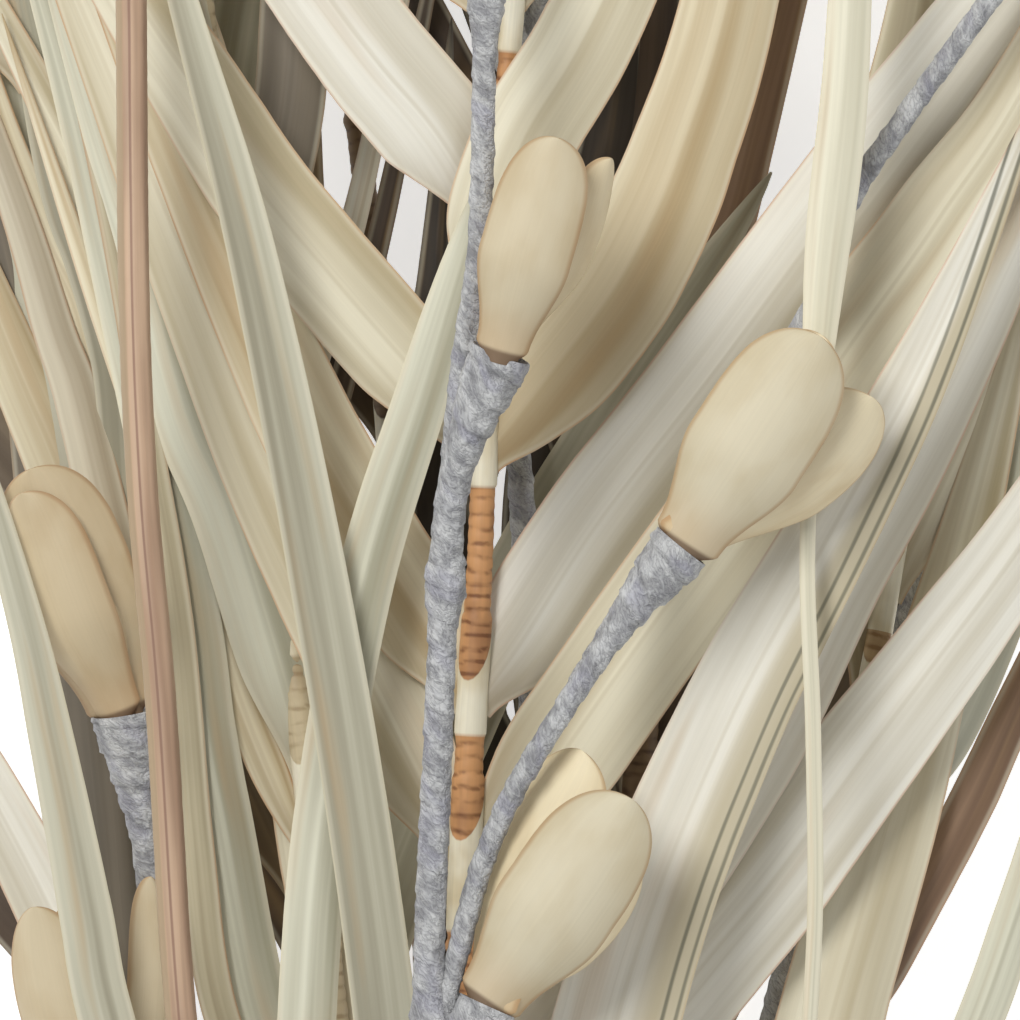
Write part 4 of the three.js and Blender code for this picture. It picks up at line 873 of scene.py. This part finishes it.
# ---------------------------------------------------------------- reed
# One stout reed at the left, from the cut ends to the tips: pink-brown and grooved along its
# length, with a duller tan stripe down its left side.
REED_LAYER = 104
REED = [*foot(4, -1), (-18, -285), (-37, -200), (-49, -130), (-54.7, -83), (-58, -32), (-61, 2),
        (-62.5, 35), (-63, 83), (-63.5, 140), (-67, 205), (-73, 262)]
REED_RADIUS = 2.6
REED_NARROWS_FROM, REED_NARROWS = 0.85, 0.35
REED_ROW = 0.9
REED_PINK, REED_BROWN, REED_STRIPE = colour(190, 160, 132), colour(154, 124, 100), colour(166, 143, 113)
GROOVE_SHADE, REED_CUT = colour(120, 84, 66), colour(224, 206, 172)


def reed_material():
    """Pink-brown skin with fine fibres, a duller stripe at the left and a groove in front, darkened with
    painted shade.
    """
    made, shader, w = material("reed_skin", 0.5)
    around, beside, along = w.three("wrap")
    turn = around / w.surface("half")
    fibre = w.noise(w.vector(around * 1700, beside * 1700, along * 26), 1, 3, 0.6)
    cloud = w.noise(w.vector(around * 260, beside * 260, along * 18), 1, 2)
    base = cloud.step(0.35, 0.7).between(REED_PINK, REED_BROWN)
    stripe = 1 - (turn + 0.16 * (cloud - 0.5)).step(-0.62, -0.46)
    base = base.mixed(REED_STRIPE, stripe)
    groove = abs(turn + 0.1 + 0.2 * (cloud - 0.5))
    # Painted shade in the groove.
    base = base.mixed(GROOVE_SHADE, (1 - groove.step(0.03, 0.13)) * 0.7)
    base = base.scaled(0.82 + 0.36 * fibre)
    base = base.mixed(REED_CUT, 1 - w.surface("core").step(0.9, 0.98))
    feed(shader, w, base, 0.42 + 0.3 * fibre, fibre - groove.step(0.0, 0.1) * -0.5, 0.35, 0.15 * MM)
    return made


way = route(REED, REED_LAYER)
t = even_shares(way, REED_ROW)
centre, _, side, top = frames_on(way, t)
radius = REED_RADIUS * (1 - REED_NARROWS * smooth(REED_NARROWS_FROM, 1, t))
reed = rod_line(centre, side, top, radius, 0.4, relief=1.0)
piece = swept("reed_cane", ROD, [reed], {
    "Columns": 40, "Finish": reed_material(), "Grooves": 9, "Groove Depth": 0.09 * MM,
    "Crumple Size": 3 * MM, "Crumple Height": 0.12 * MM})
finished(piece, "reed", "reed")


# ---------------------------------------------------------------- pod twigs
# Wire twigs wrapped round and round in wrinkled grey paper tape. The tape is wound thicker where a
# side twig leaves, and builds up to a cone, the calyx, that holds each pod.
TWIG_RADIUS = 2.9
TWIG_ROW = 0.5
CALYX_RADIUS = 5.6
CALYX_LENGTH = 22
CALYX_WALL = 0.8
CALYX_DEPTH = 2.6
RIM_TURN, RIM_FROM = 0.5, 0.9  # how far the rim turns in, and where along the cone that starts
CONE_CURVE = 1.25
TWIG_NARROWS = (0.3, 0.9)
KNOT_SWELL, KNOT_LENGTH = 1.2, 5
# Inside a calyx the tape goes down in four rows: their shares of its depth, how many walls they
# stand in from its rim, and their relief.
MOUTH_DEPTHS, MOUTH_WALLS = [0.0, 0.35, 1.0, 1.0], [0.35, 1.0, 1.2, 3.0]
MOUTH_RELIEF = [1.0, 0.4, 0.2, 0.0]
# The tape is flattest on the plain twig, and has more relief on cones and knots.
PLAIN_RELIEF, CONE_RELIEF, KNOT_RELIEF, KNOT_FROM = 0.8, 0.9, 0.6, 0.4
TAPE_LAP, TAPE_LAP_HEIGHT, TAPE_CRUMPLE, TAPE_CRUMPLE_HEIGHT = 5.2, 0.3, 2.8, 0.5


def three_petals(front, beside, sway, behind):
    """A plain pod: a broad petal in front, one beside it that bows sideways, and one behind."""
    return [dict(at=front), dict(at=beside, width=17, belly=5, sway=sway), dict(at=behind, width=17)]


POD_TWIGS = {
    "pod_twig_front": {
        "layer": 110,
        "main": [
            *foot(4, 1), (-2, -300), (-8, -200), (-12, -130), (-13.5, -83), (-12, -40), (-10.5, -8), (-8, 22),
            (-5, 45), (-4, 83), (-2, 108), (3, 132),
        ],
        "radius": (TWIG_RADIUS, 1.9),
        "twigs": [
            {
                "pod": "pod_front_1", "radius": 2.7, "turn": -6.5, "raise": 1.5, "age": 0.25,
                "path": [(-11, -12), (-9.5, 3, 112), (-6, 15, 115.5), (-1.5, 26, 116.5)],
                "petals": [
                    dict(at=-6, width=15.5, length=36),
                    dict(at=52, width=12, belly=6, length=34, sway=8),
                    dict(at=-55, width=10, belly=5, length=25),
                    dict(at=180, width=13, length=34),
                ],
            },
            {
                "pod": "pod_front_2", "radius": 1.9, "turn": -6,
                "path": [
                    (-12.5, -88), (-9, -75), (-5, -60), (0, -48), (7, -36), (15, -24), (22, -14), (28.5, -6),
                ],
                "petals": [
                    dict(at=0, width=20.5),
                    dict(at=32, width=21, belly=5, length=36, sway=13),
                    dict(at=178, width=17),
                ],
            },
            {
                "pod": "pod_front_3", "radius": 2.2, "turn": 10,
                "path": [(-13, -114), (-12, -104), (-9, -93), (-4, -82)],
                "petals": [
                    dict(at=6),
                    dict(at=-34, width=20, belly=5, length=42, sway=-10),
                    dict(at=40, width=14, belly=5, length=31, sway=8),
                ],
            },
            {
                "pod": "pod_front_4", "radius": 1.8, "turn": -8,
                "path": [
                    (10, -31, 108), (24, -8, 92), (41, 18, 88), (52, 37, 88), (57, 52, 88), (67, 67, 88),
                    (80, 85, 90), (94, 104, 92),
                ],
                "petals": three_petals(12, -34, -5, 182),
            },
            {
                "pod": "pod_front_5", "radius": 1.8, "turn": -4,
                "path": [(-4, 84), (-9, 99), (-16, 114), (-22, 128)],
                "petals": three_petals(-10, 36, 6, 182),
            },
        ],
        "end": {
            "pod": "pod_front_6", "turn": 0,
            "petals": three_petals(10, -36, -4, 180),
        },
    },
    "pod_twig_left": {
        "layer": 80,
        "main": [
            *foot(3, -2), (-20, -290), (-36, -200), (-47, -145), (-55, -105, 76), (-59, -83, 75.5),
            (-61, -60, 76), (-65, -34),
        ],
        "radius": (2.6, 2.1),
        "twigs": [
            {
                "pod": "pod_left_1", "radius": 2, "turn": 10, "age": 0.4,
                "path": [(-49, -140), (-56, -130, 83), (-62, -119, 83), (-65.5, -107, 82.5)],
                "petals": [
                    dict(at=-24, width=15, belly=7, sway=-8),
                    dict(at=26, width=8.5, belly=6, length=43, sway=9),
                    dict(at=190, width=11, sway=3),
                ],
            },
        ],
        "end": {
            "pod": "pod_left_2", "turn": -12, "age": 0.55,
            "petals": [
                dict(at=-22, width=15.5, length=39.5),
                dict(at=-4, width=20.5, belly=5, length=42.5, sway=0.5),
                dict(at=55, width=10, belly=7, length=38, sway=3),
            ],
        },
    },
    "pod_twig_back": {
        "layer": 47,
        "main": [
            *foot(1, 0), (2, -250), (4, -120), (4, -40), (1, 20), (0, 60), (2, 110), (6, 160), (10, 188),
        ],
        "radius": (2.5, 1.9),
        "twigs": [
            {
                "pod": "pod_back_1", "radius": 1.8, "turn": 4,
                "path": [(1, 78), (10, 98), (19, 118), (26, 136)],
                "petals": three_petals(180, -144, 5, 0),
            },
        ],
        "end": {
            "pod": "pod_back_2", "turn": 0,
            "petals": three_petals(175, 140, -5, -5),
        },
    },
    "pod_twig_right": {
        "layer": 50,
        "main": [
            *foot(2, 1), (12, -250), (30, -150), (52, -60), (70, -12), (80, 10), (90, 52, 48), (100, 92, 45),
            (108, 116, 43),
        ],
        "radius": (2.5, 1.9),
        "twigs": [],
        "end": {
            "pod": "pod_right_1", "turn": 4,
            "petals": three_petals(186, 144, -4, 0),
        },
    },
}


PAPER_DARK, PAPER_PALE, PAPER_BLUE = colour(150, 150, 151), colour(196, 196, 194), colour(158, 157, 170)
CRUMPLE_HOLLOW_SHADE, LAP_EDGE_SHADOW, CREASE_SHADE = colour(112, 111, 112), colour(90, 88, 92), colour(98, 96, 102)
PAPER_WORN, CALYX_SHADOW_AND_CUT_END = colour(206, 206, 206), colour(62, 50, 42)


def paper_material():
    """Grey paper tape, mottled from bluish to warm, creased in slanting folds and whitish along them, with
    painted shade in its hollows and creases, and painted shadow under its laps and inside the calyx.
    """
    made, shader, w = material("wrinkled_paper", 0.92, 0.1)
    around, beside, along = w.three("wrap")
    slant = along + (around + beside) * 0.55
    at = w.vector(around * 1.2, beside * 1.2, slant * 1.7)
    mottle = w.noise(at, 210, 3, 0.6)
    warp = at.plus(w.vector(mottle * 1.6 * MM, mottle * 1.6 * MM, 0.0))
    fold = 1 - abs(w.noise(warp, 260, 1) - 0.5) * 4
    crease = 1 - abs(w.noise(warp, 700, 2, 0.55) - 0.5) * 5
    fibre = w.noise(w.vector(around, beside, along * 3), 2400, 2, 0.6)
    base = mottle.step(0.35, 0.65).between(PAPER_DARK, PAPER_PALE)
    tint = w.noise(at, 120, 1)
    base = base.mixed(PAPER_BLUE, tint.step(0.52, 0.68) * 0.5)
    # Painted shade in the crumples' hollows, painted shadow under each lap edge, and painted shade in the
    # creases.
    base = base.mixed(CRUMPLE_HOLLOW_SHADE, (1 - w.surface("crumple").step(-0.22, 0.02)) * 0.45)
    base = base.mixed(LAP_EDGE_SHADOW, (1 - w.surface("lap").step(0.02, 0.14)) * mottle.step(0.3, 0.6) * 0.5)
    base = base.mixed(CREASE_SHADE, crease.step(0.75, 1.0) * 0.4)
    base = base.mixed(PAPER_WORN, fold.step(0.8, 1.0) * 0.3 + fibre.step(0.62, 0.76) * 0.25)
    # Painted shadow down inside the calyx; the same dark colour also closes the twig's cut end.
    base = base.mixed(CALYX_SHADOW_AND_CUT_END, (1 - w.surface("core").step(0.85, 0.98)) * 0.8)
    relief = fold.step(0.0, 1.0) - crease.step(0.4, 1.0) * 0.6 + 0.3 * fibre
    feed(shader, w, base, None, relief, 0.7, 0.4 * MM)
    return made


PAPER_FINISH = paper_material()


def taped_line(way, radius_at, knots, grain):
    """A wrapped twig. At its far end the tape turns in over the calyx's rim and closes below it."""
    t = even_shares(way, TWIG_ROW)
    centre, along, side, top = frames_on(way, t)
    reach = measured(centre)
    cone = np.clip(1 - (reach[-1] - reach) / CALYX_LENGTH, 0, 1)
    plain = radius_at(t)
    radius = plain + (CALYX_RADIUS - plain[-1]) * cone**CONE_CURVE - RIM_TURN * smooth(RIM_FROM, 1, cone)
    for knot in knots:
        near = np.linalg.norm(centre - knot, axis=1)
        radius = radius + KNOT_SWELL * np.exp(-(near / KNOT_LENGTH) ** 2)
    relief = PLAIN_RELIEF + CONE_RELIEF * cone + KNOT_RELIEF * (radius > plain + KNOT_FROM)
    depths = np.array(MOUTH_DEPTHS)[:, None]
    centre = np.vstack([centre, centre[-1] - CALYX_DEPTH * depths * along[-1]])
    inner = CALYX_RADIUS - RIM_TURN - np.array(MOUTH_WALLS) * CALYX_WALL
    radius = np.concatenate([radius, inner])
    side, top = (np.vstack([v, np.tile(v[-1], (len(inner), 1))]) for v in (side, top))
    relief = np.concatenate([relief, MOUTH_RELIEF])
    return rod_line(centre, side, top, radius, grain, relief=relief)


pods = []
for number, (node, plan) in enumerate(POD_TWIGS.items()):
    thick, thin = plan["radius"]
    main = route(plan["main"], plan["layer"])
    sides = [route(twig["path"], plan["layer"]) for twig in plan["twigs"]]
    knots = [on_route(side_way, [0.0])[0] for side_way in sides]
    lines = [taped_line(main, lambda t: lerp(thick, thin, smooth(*TWIG_NARROWS, t)), knots, 0.2 * number)]
    for k, (twig, side_way) in enumerate(zip(plan["twigs"], sides)):
        lines.append(taped_line(side_way, lambda t: np.full(len(t), float(twig["radius"])), [],
                                0.2 * number + 0.03 * k))
    pods += [(main, plan["end"]), *zip(sides, plan["twigs"])]
    piece = swept(node.replace("pod_twig", "taped_twig"), ROD, lines, {
        "Columns": 26, "Finish": PAPER_FINISH, "Lap Pitch": TAPE_LAP * MM, "Lap Height": TAPE_LAP_HEIGHT * MM,
        "Crumple Size": TAPE_CRUMPLE * MM, "Crumple Height": TAPE_CRUMPLE_HEIGHT * MM})
    finished(piece, "wrapped_paper", node)


# ---------------------------------------------------------------- pods
# Each pod is three or four stiff cream petals, spoon-shaped and cupped, standing close round one
# another in the calyx, with their tan roots glued inside its rim.
PETAL_LENGTH = 40
PETAL_WIDTH = 20
PETAL_THICK = 1.5
PETAL_ROWS, PETAL_COLUMNS = 56, 36
PETAL_CUP = 0.4
POD_BELLY = 8.2
ROOT_RADIUS = 3.4
ROOT_DEPTH = 1
ROOT_SUNK = 3  # how far a petal goes down inside the calyx
SUNK_SHARE = 0.48  # how much narrower it is down there
# Painted shadow on a petal's root inside the calyx: full below the first depth, gone above the second.
DARK_TO = (-1.3, -0.4)  # a root is dark below the first and plain above the second
TIP_TUCK = 1.5
POD_GAP = 0.8
PETAL_NECK = 0.58  # width at the root, against the widest
PETAL_FULL = 0.42
BELLY_AT = 0.45
TUCK_FROM = 0.5
TIP_ROUND, TIP_SHORT = 3.2, 0.995
TIP_THINS = 0.45
SEEN_FROM_FRONT = 30  # degrees round the pod, to both sides of its upper side
ROOT_SHADOW = colour(88, 60, 38)
# The face, soft shade and rim of a petal. Petals round the pod's sides and back are warmer, and
# painted lighter than those on its upper side to lift the shade they lie in.
PETAL_FRONT = [(205, 195, 168), (191, 176, 142), (170, 136, 94)]
PETAL_BACK_PAINTED_LIGHT = [(226, 212, 178), (204, 182, 140), (170, 132, 88)]
PETAL_AGED = [(186, 162, 122), (168, 138, 98), (146, 108, 70)]


def petal_material():
    """Matt cream with faint veins, a tan rim, tan bands beside it and a dark line of painted shadow
    at the root, where it goes into the calyx.
    """
    made, shader, w = material("pod_petal", 0.72)
    across, along, grain = w.three("grain_at")
    half, share = w.surface("half"), w.surface("share")
    face, shade, edge = (w.surface(n, "Color") for n in ("face", "shade", "edge"))
    fan = across / (half + 3 * MM)
    vein = w.noise(w.vector(fan * 30, along * 16, grain * 57), 1, 3, 0.6)
    cloud = w.noise(w.vector(across * 150, along * 70, grain * 23), 1, 3)
    over = abs(across / half)
    base = face.mixed(shade, cloud.step(0.4, 0.72) * 0.5 + over.step(0.4, 1.0) * 0.4)
    base = base.scaled(0.94 + 0.12 * vein)
    rim = half - abs(across)
    base = base.mixed(edge, (1 - rim.step(0.15 * MM, 0.9 * MM)) * (0.35 + 0.6 * cloud))
    base = base.mixed(edge, (1 - share.step(0.0, 0.25)) * 0.35)
    low, high = ((ROOT_SUNK + rise) * MM for rise in DARK_TO)
    # Painted shadow where the root goes down into the calyx.
    base = base.mixed(ROOT_SHADOW, (1 - along.step(low, high)) * 0.8)
    feed(shader, w, base, 0.6 + 0.2 * vein, vein + 0.5 * cloud, 0.25, 0.15 * MM)
    return made


PETAL_FINISH = petal_material()


def petal_line(base, axis, side, top, grain, age, at, width=PETAL_WIDTH, belly=POD_BELLY,
               length=PETAL_LENGTH, sway=0.0):
    """A petal's midline: at degrees round the pod's axis, belly out from it, bowed sideways to its tip."""
    whole = length + ROOT_SUNK
    rise = whole * (1 - np.cos(math.pi * np.linspace(0, 1, PETAL_ROWS))) / 2 - ROOT_SUNK
    t = np.clip(rise / length, 0, 1)
    angle = math.radians(at)
    out = top * math.cos(angle) + side * math.sin(angle)
    across = np.cross(axis, out)
    sunk = 1 - SUNK_SHARE * smooth(0, -ROOT_SUNK, rise)
    shape = sunk * (PETAL_NECK + (1 - PETAL_NECK) * smooth(0, PETAL_FULL, t))
    shape = shape * np.sqrt(1 - np.maximum(0, 2 * t - 1) ** TIP_ROUND * TIP_SHORT)
    root = ROOT_RADIUS * min(1, belly / POD_BELLY)
    back = lerp(root, belly, smooth(0, BELLY_AT, t)) - TIP_TUCK * smooth(TUCK_FROM, 1, t)
    bow = sway * np.sin(math.pi / 2 * t)
    centre = base + np.outer(ROOT_DEPTH + rise, axis) + np.outer(bow, across) + np.outer(back, out)
    flat = np.ones(len(t))
    # Petals away from the upper side take the warmer colours, painted lighter against their shade.
    young = PETAL_FRONT if abs(at) < SEEN_FROM_FRONT else PETAL_BACK_PAINTED_LIGHT
    face, shade, edge = (np.tile(lerp(np.array(colour(*a)), np.array(colour(*b)), age), (len(t), 1))
                         for a, b in zip(young, PETAL_AGED))
    return {"centre": centre, "across": np.outer(flat, across), "up": np.outer(flat, out),
            "half": width / 2 * shape * MM, "thick": PETAL_THICK * (1 - TIP_THINS * t) * MM,
            "roof": 0 * flat, "arch": PETAL_CUP * flat, "share": t, "length": (ROOT_SUNK + rise) * MM,
            "grain": grain * flat, "face": face, "shade": shade, "edge": edge}


for number, (way, plan) in enumerate(pods):
    centre, along, _, _ = frames_on(way, np.array([1.0]))
    turn = math.radians(-plan["turn"])
    ahead = along[0]
    axis = ahead * math.cos(turn) + np.cross(UP, ahead) * math.sin(turn)
    axis = axis + UP * (UP @ ahead) * (1 - math.cos(turn))
    side = unit(np.cross(axis, UP))
    top = np.cross(side, axis)
    base = centre[0] + ahead * POD_GAP + top * plan.get("raise", 0)
    age = plan.get("age", 0)
    petals = [petal_line(base, axis, side, top, (0.29 * number + GOLDEN * k) % 1, age, **petal)
              for k, petal in enumerate(plan["petals"])]
    piece = swept(plan["pod"].replace("pod", "petals"), BLADE, petals, {
        "Columns": PETAL_COLUMNS, "Finish": PETAL_FINISH, "Waves": 2.0, "Wave Height": 0.25 * MM,
        "Fray": 0.03})
    finished(piece, "pod_petal", plan["pod"])


# ---------------------------------------------------------------- tie
# Four turns of three-ply jute twine pulled tight round all the stems, with a knot on top and two
# short ends left lying over the stems.
TWINE_RADIUS = 1.4
PLY_RADIUS, PLY_OFFSET, PLY_TWIST = 0.76, 0.7, 6.5
TIE_TURNS, TURN_PITCH = 4, 3.4
TIE_INSIDE_ACROSS, TIE_INSIDE_UP = 14, 15.8
TIE_WALL = 2.4
KNOT_ACROSS, KNOT_ALONG, KNOT_UP = 4.6, 3.3, 1.9
TWINE_ROW, TWINE_CLEAR, KNOT_CLEAR = 0.6, 0.05, 0.4
START_TURN = -0.25  # the first turn starts under the stems
LOOP_POINTS, KNOT_POINTS, TAIL_POINTS = 900, 240, 120
JUTE, JUTE_SHADE = colour(196, 170, 124), colour(160, 130, 88)


def carried_frames(centre):
    """Sides and upper sides along a line, carried from row to row without twisting."""
    along = unit(np.gradient(centre, axis=0))
    side = np.zeros_like(centre)
    side[0] = unit(np.cross(along[0], UP if abs(along[0] @ UP) < 0.9 else np.array([1.0, 0, 0])))
    for i in range(1, len(centre)):
        side[i] = side[i - 1] - along[i] * (side[i - 1] @ along[i])
        side[i] /= np.linalg.norm(side[i])
    return side, np.cross(side, along)


def ply_lines(centre, grain):
    """The three plies of a length of twine, twisted round its centre line."""
    reach = measured(centre)
    even = np.linspace(0, reach[-1], int(reach[-1] / TWINE_ROW) + 2)
    centre = np.stack([np.interp(even, reach, centre[:, k]) for k in range(3)], 1)
    side, top = carried_frames(centre)
    lines = []
    for ply in range(3):
        turn = math.tau * (even / PLY_TWIST + ply / 3)
        strand = centre + PLY_OFFSET * (np.cos(turn)[:, None] * side + np.sin(turn)[:, None] * top)
        lines.append(rod_line(strand, *carried_frames(strand), np.full(len(even), PLY_RADIUS),
                              grain + 0.1 * ply, relief=1.0))
    return lines


def twine_material():
    """Pale jute, darker in clouds, with fine fibres along the twist."""
    made, shader, w = material("jute", 0.95, 0.2)
    around, beside, along = w.three("wrap")
    grain = w.surface("grain")
    fibre = w.noise(w.vector(around * 3600, beside * 3600, along * 420 + grain * 90), 1, 3, 0.65)
    cloud = w.noise(w.vector(around * 500, beside * 500, along * 160 + grain * 50), 1, 2)
    base = cloud.step(0.3, 0.7).between(JUTE, JUTE_SHADE)
    base = base.scaled(0.7 + 0.6 * fibre)
    feed(shader, w, base, None, fibre, 0.7, 0.2 * MM)
    return made


centre_up = ROW[2]
turn = np.linspace(START_TURN, TIE_TURNS + START_TURN, LOOP_POINTS) * math.tau
reach_out = TWINE_RADIUS + TWINE_CLEAR
loops = np.stack([
    (TIE_INSIDE_ACROSS + reach_out) * np.cos(turn),
    (turn / math.tau - START_TURN - TIE_TURNS / 2) * TURN_PITCH,
    np.maximum(TWINE_RADIUS, centre_up + (TIE_INSIDE_UP + reach_out) * np.sin(turn))], 1)
s = np.linspace(0, math.tau, KNOT_POINTS)
knot = np.stack([
    KNOT_ACROSS * (np.sin(s) + 2 * np.sin(2 * s)) / 3,
    KNOT_ALONG * (np.cos(s) - 2 * np.cos(2 * s)) / 3,
    centre_up + TIE_INSIDE_UP + TIE_WALL + KNOT_CLEAR - KNOT_UP * np.sin(3 * s)], 1)
TAILS = [
    [(2.5, -1, 35.5), (4.5, -6, 34), (5.6, -13, 31.6), (6, -22, 31), (7.5, -34, 30.8)],
    [(-2.5, -1, 35.5), (-2, -7, 33.6), (-0.6, -14, 31), (0.4, -25, 30.2), (-0.4, -41, 30.1)],
]
lines = ply_lines(loops, 0.1) + ply_lines(knot, 0.5)
for k, tail in enumerate(TAILS):
    lines += ply_lines(spline(np.array(tail, float), np.linspace(0, 1, TAIL_POINTS)), 0.6 + 0.1 * k)
piece = swept("twine_tie", ROD, lines, {
    "Columns": 12, "Finish": twine_material(), "Crumple Size": 0.9 * MM, "Crumple Height": 0.1 * MM})
finished(piece, "twine", "tie")


# ---------------------------------------------------------------- table, light and camera
# A plain pale table, soft light from the upper left and a camera that looks straight down on the
# middle of the leafy head.
FLOOR_SIZE = 6.0
TABLE_GLOW = 0.62  # the table shows almost white between the leaves
VIEW_WIDTH = 0.170
VIEW_HEIGHT = 2.4
FOCUS_LEVEL = 0.095
SENSOR = 36
TABLE_COLOUR, SKY_COLOUR, SKY_POWER = colour(250, 250, 249), colour(246, 248, 252), 0.42
floor_mesh = bpy.data.meshes.new("table_top")
edge = FLOOR_SIZE / 2
floor_mesh.from_pydata([(-edge, -edge, 0), (edge, -edge, 0), (edge, edge, 0), (-edge, edge, 0)], [],
                       [(0, 1, 2, 3)])
table_top = bpy.data.objects.new("table_top", floor_mesh)
bpy.context.scene.collection.objects.link(table_top)
made, shader, w = material("pale_table", 0.6)
shader.inputs["Base Color"].default_value = TABLE_COLOUR
shader.inputs["Emission Color"].default_value = colour(255, 255, 255)
shader.inputs["Emission Strength"].default_value = TABLE_GLOW
floor_mesh.materials.append(made)

world = bpy.data.worlds.new("studio")
bpy.context.scene.world = world
world.use_nodes = True
world.node_tree.nodes["Background"].inputs["Color"].default_value = SKY_COLOUR
world.node_tree.nodes["Background"].inputs["Strength"].default_value = SKY_POWER
middle = np.array([*to_frame(np.array([0.0, HEAD, 0.0]))[:2], FOCUS_LEVEL])


def soft_light(name, power, size, place):
    lamp = bpy.data.lights.new(name, "AREA")
    lamp.energy, lamp.size = power, size
    holder = bpy.data.objects.new(name, lamp)
    bpy.context.scene.collection.objects.link(holder)
    holder.location = middle + np.array(place)
    holder.rotation_euler = Vector([-x for x in place]).to_track_quat("-Z", "Y").to_euler()


soft_light("key", power=18.5, size=0.6, place=(-0.55, 0.6, 1.35))
soft_light("fill", power=7, size=1.6, place=(1.1, -0.5, 1.5))

bpy.context.scene.view_settings.view_transform = "Standard"
lens = bpy.data.cameras.new("camera")
lens.sensor_width = SENSOR
lens.lens = SENSOR * (VIEW_HEIGHT - FOCUS_LEVEL) / VIEW_WIDTH
lens.clip_end = 20
camera = bpy.data.objects.new("camera", lens)
camera.location = (middle[0], middle[1], VIEW_HEIGHT)
bpy.context.scene.collection.objects.link(camera)
bpy.context.scene.camera = camera
